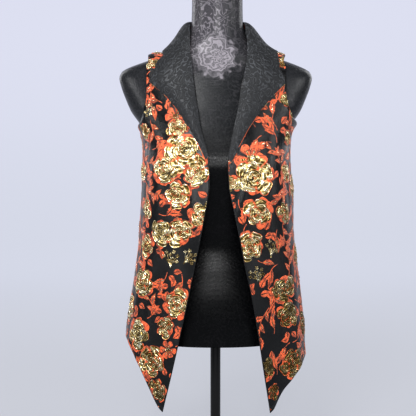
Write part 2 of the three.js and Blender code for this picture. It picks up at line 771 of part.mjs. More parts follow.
const base = () =>
  turned([
    [0, 0],
    [BASE_RADIUS - 2, 0],
    [BASE_RADIUS, 2],
    [BASE_RADIUS, BASE_THICKNESS - BASE_EDGE_ROUND],
    [BASE_RADIUS - BASE_EDGE_ROUND, BASE_THICKNESS],
    [0, BASE_THICKNESS],
  ]);

const SOCKET_FOOT = BASE_THICKNESS + SEAM_GAP;
const baseSocket = () =>
  turned([
    [POLE_RADIUS + SEAM_GAP, SOCKET_FOOT],
    [SOCKET_RADIUS + 9, SOCKET_FOOT],
    [SOCKET_RADIUS + 9, SOCKET_FOOT + 4],
    [SOCKET_RADIUS, SOCKET_FOOT + 9],
    [SOCKET_RADIUS - 3, SOCKET_FOOT + SOCKET_HEIGHT],
    [POLE_RADIUS + SEAM_GAP, SOCKET_FOOT + SOCKET_HEIGHT],
    [POLE_RADIUS + SEAM_GAP, SOCKET_FOOT],
  ]);

const pole = () =>
  turned(
    [
      [0, SOCKET_FOOT],
      [POLE_RADIUS, SOCKET_FOOT],
      [POLE_RADIUS, FORM_BOTTOM - SEAM_GAP],
      [0, FORM_BOTTOM - SEAM_GAP],
    ],
    24,
  );

// ---- materials and the finished part ------------------------------------------------------------------
const finish = (color, roughness, metalness) => () =>
  new THREE.MeshStandardMaterial({ color, roughness, metalness });
const brocade = finish(0xa0603a, 0.5, 0.15);
const jacquard = finish(0x303236, 0.6, 0.0);
const cover = finish(0x101114, 0.55, 0.0);
const steel = finish(0x0c0c0e, 0.4, 0.6);

const part = new THREE.Group();
function add(name, geometry, material) {
  const mesh = new THREE.Mesh(geometry, material());
  mesh.name = name;
  part.add(mesh);
}

add("back", backWall(), brocade);
add("front_right", frontWall(-1), brocade);
add("front_left", frontWall(1), brocade);
add("under_collar_right", underCollar(-1), brocade);
add("under_collar_left", underCollar(1), brocade);
add("upper_collar_right", upperCollar(-1), jacquard);
add("upper_collar_left", upperCollar(1), jacquard);
add("collar_stand", standWall(), jacquard);
add("dress_form", formBody(), cover);
add("neck_cap", neckCap(), cover);
add("pole", pole(), steel);
add("base_socket", baseSocket(), steel);
add("base", base(), steel);

export default part;
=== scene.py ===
"""A sleeveless brocade vest with a shawl collar, hung on a limbless dress form and stand."""

import math
import random

import bmesh
import bpy
from mathutils import Matrix, Vector, noise
from mathutils.bvhtree import BVHTree


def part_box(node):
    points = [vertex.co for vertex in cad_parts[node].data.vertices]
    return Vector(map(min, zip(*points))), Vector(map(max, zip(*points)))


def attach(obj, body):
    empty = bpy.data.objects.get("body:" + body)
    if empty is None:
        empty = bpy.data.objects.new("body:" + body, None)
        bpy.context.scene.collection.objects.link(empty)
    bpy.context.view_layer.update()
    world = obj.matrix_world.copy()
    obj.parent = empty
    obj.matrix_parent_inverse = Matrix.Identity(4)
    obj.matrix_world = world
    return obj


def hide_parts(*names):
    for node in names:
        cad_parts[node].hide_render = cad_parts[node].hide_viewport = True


bl_info = {
    "name": "Brocade vest on a dress form",
    "version": (1, 0, 0),
    "blender": (4, 5, 0),
    "location": "3D View > Sidebar > Vest",
    "description": "Cuts, hangs and embroiders a brocade vest around its packed frame",
    "category": "Object",
}

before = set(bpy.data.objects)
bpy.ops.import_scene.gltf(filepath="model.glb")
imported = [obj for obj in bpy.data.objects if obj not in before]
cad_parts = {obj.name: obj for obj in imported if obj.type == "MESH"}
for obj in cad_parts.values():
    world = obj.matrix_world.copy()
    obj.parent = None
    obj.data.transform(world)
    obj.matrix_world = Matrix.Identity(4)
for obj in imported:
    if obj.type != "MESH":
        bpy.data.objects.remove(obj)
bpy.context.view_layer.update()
MM = 0.001
DEGREE = math.pi / 180

# ---- sizes, in millimetres ----------------------------------------------------------------
FORM_CLEARANCE = 3.2
BROCADE_WALL = 1.8
COLLAR_WALL = 1.2
STAND_WALL = 2.2
STAND_LIFT = 1.8
FORM_BOTTOM = 262
NECK_TOP = 962

# The covered form's rings.
FORM_RINGS = [
    # height, half, front, back, square, middle x, middle y
    (262, 157, 103, 109, 2.25, 0, 0),
    (300, 158, 102, 110, 2.25, 0, 0),
    (345, 151, 98, 105, 2.2, 0, 0),
    (400, 130, 89, 90, 2.15, 0, 0),
    (450, 112, 81, 79, 2.1, 0, 0),
    (500, 115, 86, 82, 2.15, 0, 0),
    (550, 127, 99, 91, 2.25, 0, 0),
    (600, 136, 108, 98, 2.3, 0, 0),
    (645, 136, 101, 103, 2.3, 0, 0),
    (665, 139, 97, 103.5, 2.3, 0, 0),
    (682, 149, 93, 104, 2.25, 0, 0),
    (705, 165, 88, 103, 2.2, 0, 0),
    (730, 176, 81, 100, 2.15, 0, 0),
    (752, 184, 75, 97, 2.1, 0, 0),
    (770, 188, 69, 92, 2.05, 0, 0),
    (782, 183, 65, 88, 2.0, 0, 1),
    (791, 167, 62, 84, 2.0, 0, 2),
    (799, 146, 59, 80, 2.0, 1, 3),
    (807, 123, 56, 77, 2.0, 1, 4),
    (817, 100, 54, 73, 2.0, 2, 5),
    (828, 81, 53, 68, 2.0, 2, 5),
    (842, 64, 52, 62, 2.0, 3, 5),
    (858, 54, 51, 58, 2.0, 3, 4),
    (880, 50, 50, 55, 2.0, 3, 2),
    (915, 49, 50, 53, 2.0, 3, 0),
    (962, 49, 51, 52, 2.0, 3, -3),
]

# The vest's own rings, where it hangs clear of the form.
VEST_RINGS = [
    # height, half on -x, half on +x, front, back, square, middle x, middle y
    (140, 194, 192, 125, 126, 2.2, 0, 0),
    (200, 188, 184, 125, 123, 2.2, 0, 0),
    (232, 183, 178, 124, 121, 2.2, 0, 0),
    (270, 177, 175.5, 124, 119, 2.25, 0, 0),
    (312, 170, 172, 123, 117, 2.25, 0, 0),
    (332, 167, 169.5, 123, 116, 2.25, 0, 0),
    (392, 158, 161.5, 123, 113, 2.25, 0, 0),
    (442, 151, 155, 122, 111, 2.25, 0, 0),
    (490, 147.5, 151, 121, 110, 2.3, 0, 0),
    (532, 144.5, 150.5, 120, 108, 2.3, 0, 0),
    (600, 141.5, 145, 117, 108, 2.3, 0, 0),
    (630, 141, 144.5, 112, 108, 2.3, 0, 0),
    (660, 144, 147, 106, 108, 2.3, 0, 0),
    (685, 157, 159, 100, 109, 2.25, 0, 0),
    (708, 168, 170, 94, 108, 2.2, 0, 0),
]
WIDEST_HEIGHT = 772
NECK_FOOT_HEIGHT = 866
SHOULDER_START = 708
SHOULDER_BLEND = 40

BUST_HEIGHT = 603
BUST_ANGLE = 37
BUST_SPREAD = 19
BUST_DEPTH = 9
BUST_REACH_UP = 52
BUST_REACH_DOWN_FORM = 46
BUST_REACH_DOWN_CLOTH = 150
FOLDS = [
    # angle from the front, width, depth at the hem, height where it starts
    (-62, 9, 3.5, 560),
    (-38, 7, -3.5, 480),
    (-20, 7, 3.0, 470),
    (58, 9, 3.5, 580),
    (40, 7, -3.5, 500),
    (24, 7, 2.5, 450),
    (-118, 12, 6.0, 560),
    (-150, 11, 5.0, 520),
    (172, 12, 6.0, 540),
    (140, 11, 5.0, 520),
    (114, 11, 6.0, 560),
]
FOLD_HEM_HEIGHT = 200
SHOULDER_RISE_DEPTH = 8
SHOULDER_RISE_HEIGHT = 808
SHOULDER_RISE_BELOW = 34
SHOULDER_RISE_ABOVE = 20
SHOULDER_RISE_FROM = 98
SHOULDER_RISE_TO = 124

# Soft creases pressed and pulled into the hanging cloth.
CREASES = [
    # angle, height, half length, half width, depth, lean (degrees from upright)
    (-70, 628, 34, 5.5, -1.6, 38),
    (-74, 604, 40, 6.0, 1.5, 33),
    (-60, 566, 46, 7.0, -1.2, 16),
    (-48, 300, 70, 7.0, 1.8, 6),
    (-70, 340, 66, 6.0, -1.6, -5),
    (-27, 640, 26, 6.0, -1.0, -42),
    (-15, 560, 40, 5.0, 0.9, -8),
    (68, 636, 32, 5.5, -1.6, -36),
    (74, 610, 38, 6.0, 1.4, -31),
    (60, 560, 50, 7.0, -1.3, -14),
    (47, 310, 74, 7.0, 1.9, -5),
    (70, 330, 60, 6.0, -1.7, 6),
    (28, 640, 24, 6.0, -1.0, 40),
    (16, 545, 42, 5.0, 0.9, 8),
    (118, 620, 36, 6.0, -1.5, 34),
    (-122, 612, 34, 6.0, -1.4, -36),
    (150, 470, 60, 8.0, -1.4, 10),
    (-156, 455, 64, 8.0, 1.3, -9),
    (178, 640, 46, 9.0, -1.0, 2),
    (134, 350, 70, 7.0, 1.6, -4),
    (-136, 340, 72, 7.0, -1.6, 5),
    (165, 330, 60, 7.0, 1.4, 3),
]

ROLL_EDGE_MINUS = [
    # share of the front's length, distance from the middle, height
    (0.0, 67, 840),
    (0.05, 53, 815),
    (0.12, 45, 782),
    (0.2, 40, 748),
    (0.28, 34.5, 708),
    (0.36, 29, 672),
    (0.42, 21.5, 644),
    (0.48, 13, 608),
    (0.55, 12, 566),
    (0.62, 18.5, 520),
    (0.69, 27, 474),
    (0.76, 38, 420),
    (0.83, 49.5, 362),
    (0.89, 63, 298),
    (0.95, 79.5, 224),
    (1.0, 99.3, 143.5),
]
ROLL_EDGE_PLUS = [
    (0.0, 71, 838),
    (0.05, 58, 812),
    (0.12, 53.5, 780),
    (0.2, 45, 744),
    (0.28, 40, 708),
    (0.36, 33, 676),
    (0.42, 26.5, 645),
    (0.48, 20.5, 605),
    (0.55, 22, 566),
    (0.62, 31, 520),
    (0.69, 41, 472),
    (0.76, 51, 420),
    (0.83, 64, 362),
    (0.89, 75, 298),
    (0.95, 86.5, 224),
    (1.0, 100, 142),
]
SIDE_EDGE = [
    # share of the length, angle on the body, height on -x, height on +x
    (0.05, 47, 790, 790),
    (0.12, 42.5, 770, 770),
    (0.2, 44.5, 738, 740),
    (0.28, 51, 708, 712),
    (0.34, 62, 686, 692),
    (0.4, 89.8, 664, 673),
    (0.48, 89.8, 612, 618),
    (0.55, 89.8, 566, 566),
    (0.62, 89.8, 520, 516),
    (0.69, 89.8, 474, 466),
    (0.76, 89.8, 426, 414),
    (0.83, 89.8, 378, 360),
    (0.89, 89.8, 336, 312),
    (0.95, 89.8, 300, 268),
    (1.0, 89.8, 268, 231),
]
HEM_MINUS = [
    # share of the hem, distance from the middle, height
    (0.0, 100, 143.5),
    (0.12, 107.5, 150.5),
    (0.28, 118.5, 167.5),
    (0.44, 129.5, 190),
    (0.58, 139.5, 212.5),
    (0.7, 148.5, 231.5),
    (0.82, 157.5, 250),
    (0.92, 166.5, 261.5),
    (1.0, 177, 268),
]
HEM_PLUS = [
    (0.0, 100.5, 142),
    (0.12, 107, 147),
    (0.28, 117, 163.5),
    (0.44, 128.5, 180.5),
    (0.58, 140, 194),
    (0.7, 149, 205.5),
    (0.82, 158.5, 215.5),
    (0.92, 167.5, 224),
    (1.0, 178, 231),
]
BACK_EDGE = [
    # share of the length, angle on the body, height on -x, height on +x
    (0.05, 50, 789, 789),
    (0.12, 45, 768, 768),
    (0.2, 48.5, 738, 740),
    (0.28, 57, 708, 712),
    (0.34, 67, 686, 692),
    (0.4, 89.8, 664, 673),
    (0.55, 89.8, 570, 572),
    (0.7, 89.8, 474, 466),
    (0.85, 89.8, 368, 350),
    (1.0, 89.8, 268, 231),
]
BACK_NECK_SHARE = 0.4
BACK_NECK_DROP = 14
BACK_CAP_ANGLE = 42
BACK_CAP_REACH = 58
BACK_CAP_DROP = 12
BACK_HEM_LIFT = 22
CAP_SHARE = 0.05
SEAM_ANGLE = 89.8
SHOULDER_ANGLE = 88.4
CORNER_MINUS = 128
CORNER_PLUS = 133

COLLAR_MINUS = [
    # roll x, roll y, roll z, outer angle, outer height, lies on the vest
    (14.5, 0, 616, 5.6, 610, 1),
    (17, 0, 629, 8.8, 629, 1),
    (22, 0, 647, 12.5, 650, 1),
    (28.5, 0, 671, 18.2, 678, 1),
    (33.5, 0, 703, 23.6, 705, 1),
    (38, 0, 731, 31.5, 734, 1),
    (40.2, 0, 748, 37.2, 749.5, 1),
    (41, 0, 754, 39.6, 755, 1),
    (41.8, 0, 760, 38.9, 760.5, 1),
    (44, -60, 780, 36.4, 778, 1),
    (47, -49, 811, 44.5, 801, 0.75),
    (49, -31, 841, 60, 812, 0.3),
    (51, 4, 871, 91, 832, 0),
    (42, 40, 879, 128, 821, 0),
    (20, 60, 883, 153, 812, 0),
    (0, 65, 884, 180, 799, 0),
]
COLLAR_PLUS = [
    (21.5, 0, 612, 7.9, 606, 1),
    (23, 0, 625, 11.3, 625, 1),
    (27, 0, 647, 15.6, 647, 1),
    (33, 0, 677, 22.3, 680, 1),
    (40, 0, 708, 28.2, 707, 1),
    (44.5, 0, 736, 35.6, 733, 1),
    (48.5, 0, 755, 40.2, 748.5, 1),
    (49.5, 0, 760, 42, 753, 1),
    (50.3, 0, 764, 41.3, 758.5, 1),
    (54, -60, 782, 38.5, 779, 1),
    (57, -46, 805, 47.5, 797, 0.75),
    (58.5, -30, 836, 64, 808, 0.3),
    (57.5, 4, 870, 91, 823.5, 0),
    (46, 40, 879, 128, 818, 0),
    (22, 60, 883, 153, 811, 0),
    (0, 65, 884, 180, 799, 0),
]
COLLAR_FIRST_LIFT = 1.2
COLLAR_LAPEL_BELLY = 5
COLLAR_FOLD_OUT = 9.5
COLLAR_FOLD_UP = 4
UNDER_COLLAR_PROUD = 1.3
UNDER_COLLAR_START = 0.12
COLLAR_LAYER_GAP = 1.5
COLLAR_EDGE_LIFT = 3.2
CENTRE_BACK_GAP = 0.15
UNDER_LIFT = BROCADE_WALL + COLLAR_FIRST_LIFT
UPPER_LIFT = UNDER_LIFT + COLLAR_WALL + COLLAR_LAYER_GAP
STAND_PATH = [
    # turn round the neck from the back, seam height, band height
    (-112, 848, 5),
    (-95, 851, 14),
    (-70, 850, 19),
    (-35, 844, 30),
    (0, 841, 36),
    (35, 844, 30),
    (70, 850, 19),
    (95, 851, 14),
    (112, 848, 5),
]


# ---- what a user would change -------------------------------------------------------------
class VestSettings(bpy.types.PropertyGroup):
    """The cloths, threads and relief of the vest."""

    ground: bpy.props.FloatVectorProperty(
        name="Satin ground",
        description="Colour of the brocade between its flowers",
        subtype="COLOR",
        default=(0.0009, 0.0011, 0.0015),
    )
    coral: bpy.props.FloatVectorProperty(
        name="Coral thread",
        description="Colour of the leaves, stems and petal edges",
        subtype="COLOR",
        default=(0.70, 0.125, 0.036),
    )
    gold: bpy.props.FloatVectorProperty(
        name="Gold thread",
        description="Colour of the metallic thread in the roses",
        subtype="COLOR",
        default=(0.60, 0.455, 0.195),
    )
    jacquard: bpy.props.FloatVectorProperty(
        name="Collar ground",
        description="Colour of the collar's cloth between its scrolls",
        subtype="COLOR",
        default=(0.0165, 0.0175, 0.0195),
    )
    jacquard_figure: bpy.props.FloatVectorProperty(
        name="Collar scrolls",
        description="Colour of the collar's woven scrolls",
        subtype="COLOR",
        default=(0.050, 0.053, 0.059),
    )
    relief: bpy.props.FloatProperty(
        name="Rose relief",
        description="How far the gold petals stand off the cloth",
        default=1.5 * MM,
        min=0.0,
        max=3 * MM,
        unit="LENGTH",
    )
    wall: bpy.props.FloatProperty(
        name="Brocade thickness",
        description="Thickness of the brocade with its lining",
        default=1.5 * MM,
        min=1 * MM,
        max=3 * MM,
        unit="LENGTH",
    )


class StandSettings(bpy.types.PropertyGroup):
    """The dress form's cover and its stand."""

    cover: bpy.props.FloatVectorProperty(
        name="Cover",
        description="Colour of the form's knit cover",
        subtype="COLOR",
        default=(0.0012, 0.0014, 0.0018),
    )
    print_colour: bpy.props.FloatVectorProperty(
        name="Cover print",
        description="Colour of the pale scrolls printed on the cover",
        subtype="COLOR",
        default=(0.36, 0.335, 0.37),
    )
    paint: bpy.props.FloatVectorProperty(
        name="Stand paint",
        description="Colour of the pole and base",
        subtype="COLOR",
        default=(0.003, 0.003, 0.0033),
    )


# ---- small mathematics --------------------------------------------------------------------
def mix(a, b, t):
    return a + (b - a) * t


def clamp01(t):
    return min(1.0, max(0.0, t))


def smooth(t):
    t = clamp01(t)
    return t * t * (3 - 2 * t)


def angle_between(angle, middle):
    """The turn in degrees from middle to angle, within half a turn either way."""
    return (angle - middle + 540) % 360 - 180


def row_at(table, key):
    """The row of a table at key, its first column, joined smoothly and without overshoot."""
    last = len(table) - 1
    at = min(max(key, table[0][0]), table[last][0])
    i = 0
    while i < last - 1 and at > table[i + 1][0]:
        i += 1
    span = table[i + 1][0] - table[i][0]
    t = (at - table[i][0]) / span

    def step(j, c):
        return (table[j][c] - table[j - 1][c]) / (table[j][0] - table[j - 1][0])

    def slope(j, c):
        if j == 0 or j == last:
            return step(1 if j == 0 else last, c)
        before, after = step(j, c), step(j + 1, c)
        return 0 if before * after <= 0 else 2 * before * after / (before + after)

    t2, t3 = t * t, t * t * t
    row = [at]
    for c in range(1, len(table[0])):
        row.append(
            (2 * t3 - 3 * t2 + 1) * table[i][c]
            + (t3 - 2 * t2 + t) * span * slope(i, c)
            + (3 * t2 - 2 * t3) * table[i + 1][c]
            + (t3 - t2) * span * slope(i + 1, c)
        )
    return row


# ---- the body's surface -------------------------------------------------------------------
def form_ring(height):
    """Half widths on -x and +x, front and back depth, squareness, middle x and y."""
    _, half, front, back, square, middle_x, middle_y = row_at(FORM_RINGS, height)
    return (half, half, front, back, square, middle_x, middle_y)


def vest_ring(height):
    """The inside of the vest: its own rings below, the form and a clearance above."""
    form = form_ring(height)
    near = [size + FORM_CLEARANCE for size in form[:4]] + list(form[4:])
    own = row_at(VEST_RINGS, height)[1:]
    t = smooth((height - (SHOULDER_START - SHOULDER_BLEND)) / (2 * SHOULDER_BLEND))
    return tuple(mix(a, b, t) for a, b in zip(own, near))


RING_LOW, RING_HIGH = 120, 980
RINGS = {
    "form": [form_ring(height) for height in range(RING_LOW, RING_HIGH + 1)],
    "vest": [vest_ring(height) for height in range(RING_LOW, RING_HIGH + 1)],
}


def ring_at(kind, height):
    """A ring between two of the rings that are kept for each whole millimetre."""
    place = min(max(height, RING_LOW), RING_HIGH - 1.001) - RING_LOW
    i = int(place)
    return tuple(mix(a, b, place - i) for a, b in zip(RINGS[kind][i], RINGS[kind][i + 1]))


def bust(angle, height, reach_down):
    """How far each side of the bust stands out, fading up and down."""
    reach = BUST_REACH_UP if height > BUST_HEIGHT else reach_down
    along = math.exp(-(((height - BUST_HEIGHT) / reach) ** 2))
    return BUST_DEPTH * along * math.exp(-(((abs(angle) - BUST_ANGLE) / BUST_SPREAD) ** 2))


def folds(angle, height):
    """The depth of the soft folds, which open towards the hem."""
    depth = 0
    for middle, width, hem_depth, start in FOLDS:
        off = angle_between(angle, middle)
        grown = smooth((start - height) / (start - FOLD_HEM_HEIGHT))
        depth += hem_depth * math.exp(-((off / width) ** 2)) * grown
    return depth


def shoulder_rise(angle, height):
    """How far the shoulder's firm end stands off the form."""
    off = height - SHOULDER_RISE_HEIGHT
    if off < -SHOULDER_RISE_BELOW or off > SHOULDER_RISE_ABOVE:
        return 0
    reach = -SHOULDER_RISE_BELOW if off < 0 else SHOULDER_RISE_ABOVE
    ring = ring_at("vest", height)
    distance = ring[1] * abs(math.sin(angle * DEGREE)) ** (2 / ring[4])
    grown = smooth((distance - SHOULDER_RISE_FROM) / (SHOULDER_RISE_TO - SHOULDER_RISE_FROM))
    return SHOULDER_RISE_DEPTH * (1 - smooth(off / reach)) * grown


CREASE_RADIUS = 135  # turns an angle on the body into a distance on the cloth
CREASE_ACROSS = 110  # beyond these a crease has no depth worth working out
CREASE_ALONG = 160
CREASE_WAVE = 4


def creases(angle, height):
    """The depth of the short creases, each a waved and leaning ridge or hollow."""
    depth = 0
    for middle, level, half_length, half_width, deep, lean in CREASES:
        off = angle_between(angle, middle) * DEGREE * CREASE_RADIUS
        up = height - level
        if abs(off) > CREASE_ACROSS or abs(up) > CREASE_ALONG:
            continue
        turn = lean * DEGREE
        along = up * math.cos(turn) + off * math.sin(turn)
        across = off * math.cos(turn) - up * math.sin(turn)
        bend = across - CREASE_WAVE * math.sin(along / half_length)
        depth += deep * math.exp(-((along / half_length) ** 2) - (bend / half_width) ** 2)
    return depth


def on_ring(kind, angle, height, lift):
    """A point on a ring surface, at an angle from the front (+x is plus), moved out by lift."""
    ring = ring_at(kind, height)
    above = ring_at(kind, height + 1)
    side, ahead = math.sin(angle * DEGREE), math.cos(angle * DEGREE)
    k = 0 if side < 0 else 1
    d = 2 if ahead > 0 else 3
    half, depth, square = ring[k], ring[d], ring[4]
    across = abs(side) ** (2 / square)
    along = abs(ahead) ** (2 / square)
    widen = (above[k] - half) / half
    deepen = (above[d] - depth) / depth
    normal = Vector(
        (
            math.copysign(across ** (square - 1) / half, side),
            -math.copysign(along ** (square - 1) / depth, ahead),
            -(across**square) * widen - along**square * deepen,
        )
    ).normalized()
    point = Vector(
        (
            ring[5] + math.copysign(half * across, side),
            ring[6] - math.copysign(depth * along, ahead),
            height,
        )
    )
    return point + normal * lift


def on_form(angle, height, lift=0):
    """A point on the dress form, or proud of it by lift."""
    return on_ring("form", angle, height, lift + bust(angle, height, BUST_REACH_DOWN_FORM))


def on_vest(angle, height, lift=0):
    """A point on the inside of the vest, or proud of it by lift."""
    out = bust(angle, height, BUST_REACH_DOWN_CLOTH) + folds(angle, height)
    return on_ring("vest", angle, height, lift + out + shoulder_rise(angle, height))


def angle_at(x, height):
    """The angle from the front at which the vest lies this far from the middle."""
    ring = ring_at("vest", height)
    share = min(1, abs(x - ring[5]) / ring[0 if x < 0 else 1])
    return math.copysign(math.asin(share ** (ring[4] / 2)), x) / DEGREE


def reach_of(angle, height, side):
    """How far from the middle a point of the vest lies."""
    ring = ring_at("vest", height)
    half = ring[0] if side < 0 else ring[1]
    return half * math.sin(angle * DEGREE) ** (2 / ring[4]) + side * ring[5]


HALVINGS = 26


def height_for(distance, angle, side):
    """The height above the shoulder's widest ring where an angle lies this far out."""
    low, high = WIDEST_HEIGHT, NECK_FOOT_HEIGHT
    for _ in range(HALVINGS):
        middle = (low + high) / 2
        if reach_of(angle, middle, side) > distance:
            low = middle
        else:
            high = middle
    return low


# ---- where each panel lies ----------------------------------------------------------------
def patch(top, bottom, first, second, s, t):
    """A patch between four edges, each a function giving (angle, height)."""
    return tuple(
        mix(top(s)[i], bottom(s)[i], t)
        + mix(first(t)[i], second(t)[i], s)
        - mix(mix(top(0)[i], top(1)[i], s), mix(bottom(0)[i], bottom(1)[i], s), t)
        for i in (0, 1)
    )


def shoulder_cap(side, foot_inner, foot_outer):
    """(angle, height) over the shoulder: u from the neck outwards, t from the seam down."""
    neck = (ROLL_EDGE_MINUS if side < 0 else ROLL_EDGE_PLUS)[0][1]
    corner = CORNER_MINUS if side < 0 else CORNER_PLUS
    inner, outer = reach_of(*foot_inner, side), reach_of(*foot_outer, side)

    def place(u, t):
        reach = mix(mix(neck, corner, u), mix(inner, outer, u), t)
        angle = mix(SHOULDER_ANGLE, mix(foot_inner[0], foot_outer[0], u), t)
        return angle, height_for(reach, angle, side)

    return place


def front_place(side):
    """(angle, height) of a front: s from the roll line to the side, t down."""
    roll_edge = ROLL_EDGE_MINUS if side < 0 else ROLL_EDGE_PLUS
    hem = HEM_MINUS if side < 0 else HEM_PLUS
    column = 2 if side < 0 else 3

    def first(t):
        _, distance, height = row_at(roll_edge, mix(CAP_SHARE, 1, t))
        return abs(angle_at(side * distance, height)), height

    def second(t):
        row = row_at(SIDE_EDGE, mix(CAP_SHARE, 1, t))
        return row[1], row[column]

    def bottom(s):
        _, distance, height = row_at(hem, s)
        angle = SEAM_ANGLE if s > 0.999 else min(abs(angle_at(side * distance, height)), SEAM_ANGLE)
        return angle, height

    cap = shoulder_cap(side, first(0), second(0))

    def place(s, t):
        if t < CAP_SHARE:
            angle, height = cap(s, t / CAP_SHARE)
        else:
            down = (t - CAP_SHARE) / (1 - CAP_SHARE)
            angle, height = patch(lambda u: cap(u, 1), bottom, first, second, s, down)
        return side * min(angle, SEAM_ANGLE if t >= CAP_SHARE else angle), height

    return place


def back_half(side):
    """(angle, height) of half the back: u from the middle to the side, t down."""
    column = 2 if side < 0 else 3

    def edge(t):
        row = row_at(BACK_EDGE, mix(CAP_SHARE, 1, t))
        return row[1], row[column]

    hem_side = BACK_EDGE[-1][column]
    hem_middle = BACK_EDGE[-1][2] + BACK_HEM_LIFT
    foot = (BACK_CAP_ANGLE, height_for(BACK_CAP_REACH, BACK_CAP_ANGLE, side))
    cap = shoulder_cap(side, foot, edge(0))
    neck_seam = cap(0, 0)[1]
    foot_middle = foot[1] - BACK_CAP_DROP

    def middle(t):
        return 0, mix(foot_middle, hem_middle, t)

    def bottom(u):
        return SEAM_ANGLE * u, mix(hem_middle, hem_side, smooth(u))

    def shoulder(u):
        return (u - BACK_NECK_SHARE) / (1 - BACK_NECK_SHARE)

    def top(u):
        if u >= BACK_NECK_SHARE:
            return cap(shoulder(u), 1)
        share = u / BACK_NECK_SHARE
        return foot[0] * share, mix(foot_middle, foot[1], share**2)

    def neck_place(share, t):
        seam = neck_seam - BACK_NECK_DROP * math.cos(share * 90 * DEGREE)
        at_shoulder = cap(0, t)[1] - mix(neck_seam, foot[1], t)
        foot_angle, foot_height = top(share * BACK_NECK_SHARE)
        height = mix(seam, foot_height, t) + share**2 * at_shoulder
        return mix(SHOULDER_ANGLE * share, foot_angle, t), height

    def place(u, t):
        if t >= CAP_SHARE:
            return patch(top, bottom, middle, edge, u, (t - CAP_SHARE) / (1 - CAP_SHARE))
        if u < BACK_NECK_SHARE:
            return neck_place(u / BACK_NECK_SHARE, t / CAP_SHARE)
        return cap(shoulder(u), t / CAP_SHARE)

    return place


def back_place():
    """(angle, height) of the back: s from the +x side to the -x side, t down."""
    minus, plus = back_half(-1), back_half(1)

    def place(s, t):
        signed = 1 - 2 * s
        angle, height = minus(-signed, t) if signed < 0 else plus(signed, t)
        turned = 180 - min(angle, SEAM_ANGLE)
        return (-turned if signed < 0 else turned), height

    return place


def fold_point(roll, out, h):
    """The collar's free fold, from its roll edge over and down to its outer edge."""
    away = Vector((out.x - roll.x, out.y - roll.y, 0)).normalized()
    control = roll + away * COLLAR_FOLD_OUT + Vector((0, 0, COLLAR_FOLD_UP))
    return roll * (1 - h) ** 2 + control * (2 * h * (1 - h)) + out * (h * h)


def collar_edges(side, v):
    """Where one stretch of the collar folds over and where it ends."""
    table = COLLAR_MINUS if side < 0 else COLLAR_PLUS
    keyed = [(i / (len(table) - 1), *row) for i, row in enumerate(table)]
    _, roll_x, roll_y, roll_z, out_angle, out_z, on_body = row_at(keyed, v)
    out = on_vest(side * out_angle, out_z, COLLAR_EDGE_LIFT)
    return Vector((roll_x * side, roll_y, roll_z)), out, out_angle, out_z, on_body


def collar_point(side, v, h, lift):
    """A point of the collar: v from the break to the centre back, h across."""
    roll, out, out_angle, out_z, on_body = collar_edges(side, v)
    belly = COLLAR_LAPEL_BELLY * math.sin(math.pi * clamp01(h)) * smooth(v / 0.3)
    angle = mix(abs(angle_at(roll.x, roll.z)), out_angle, h)
    laid = on_vest(side * angle, mix(roll.z, out_z, h), lift + belly * on_body)
    if on_body > 0.999:
        return laid
    free = fold_point(roll, out, h)
    step = 0.01
    across = fold_point(roll, out, h + step) - free
    beside = collar_edges(side, v + (-step if v > 0.5 else step))
    along = fold_point(beside[0], beside[1], h) - free
    normal = across.cross(along).normalized()
    away = Vector((out.x - roll.x, out.y - roll.y, 0)).normalized()
    if normal.z + normal.dot(away) < 0:
        normal.negate()
    return (free + normal * lift).lerp(laid, smooth(on_body))


# ---- making pieces ------------------------------------------------------------------------
def new_object(name, mesh, materials):
    """A piece of the part, with its materials."""
    piece = bpy.data.objects.new(name, mesh)
    bpy.context.scene.collection.objects.link(piece)
    for material in materials:
        mesh.materials.append(material)
    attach(piece, "root")
    return piece


def mesh_of(bm, name):
    """A smooth-shaded mesh made from a bmesh, which is freed."""
    mesh = bpy.data.meshes.new(name)
    bm.to_mesh(mesh)
    bm.free()
    mesh.polygons.foreach_set("use_smooth", [True] * len(mesh.polygons))
    mesh.update()
    return mesh


def sheet_mesh(name, columns, rows, place, wrap=False):
    """A grid of cloth whose points place(column share, row share) gives, with a map in metres."""
    bm = bmesh.new()
    bmesh.ops.create_grid(bm, x_segments=columns, y_segments=rows, size=0.5)
    bm.verts.ensure_lookup_table()
    shares = [(v.co.x + 0.5, 0.5 - v.co.y) for v in bm.verts]
    grid = {}
    for v, (s, t) in zip(bm.verts, shares):
        v.co = place(s, t) * MM
        grid[round(s * columns), round(t * rows)] = v
    across = {}
    down = {}
    for j in range(rows + 1):
        across[0, j] = 0.0
        for i in range(1, columns + 1):
            across[i, j] = across[i - 1, j] + (grid[i, j].co - grid[i - 1, j].co).length
    for i in range(columns + 1):
        down[i, 0] = 0.0
        for j in range(1, rows + 1):
            down[i, j] = down[i, j - 1] + (grid[i, j].co - grid[i, j - 1].co).length
    middle = {j: across[columns, j] / 2 for j in range(rows + 1)}
    key = {v: k for k, v in grid.items()}
    layer = bm.loops.layers.uv.new("cloth")
    for face in bm.faces:
        for loop in face.loops:
            i, j = key[loop.vert]
            loop[layer].uv = (across[i, j] - middle[j], -down[i, j])
    if wrap:
        bmesh.ops.remove_doubles(bm, verts=bm.verts, dist=0.02 * MM)
    turn_outwards(bm)
    return mesh_of(bm, name)


def turn_outwards(bm):
    """An open sheet round the body faces away from the body's axis."""
    bm.normal_update()
    total = 0.0
    for face in bm.faces:
        middle = face.calc_center_median()
        total += face.normal.dot(Vector((middle.x, middle.y, 0))) * face.calc_area()
    if total < 0:
        bmesh.ops.reverse_faces(bm, faces=bm.faces)


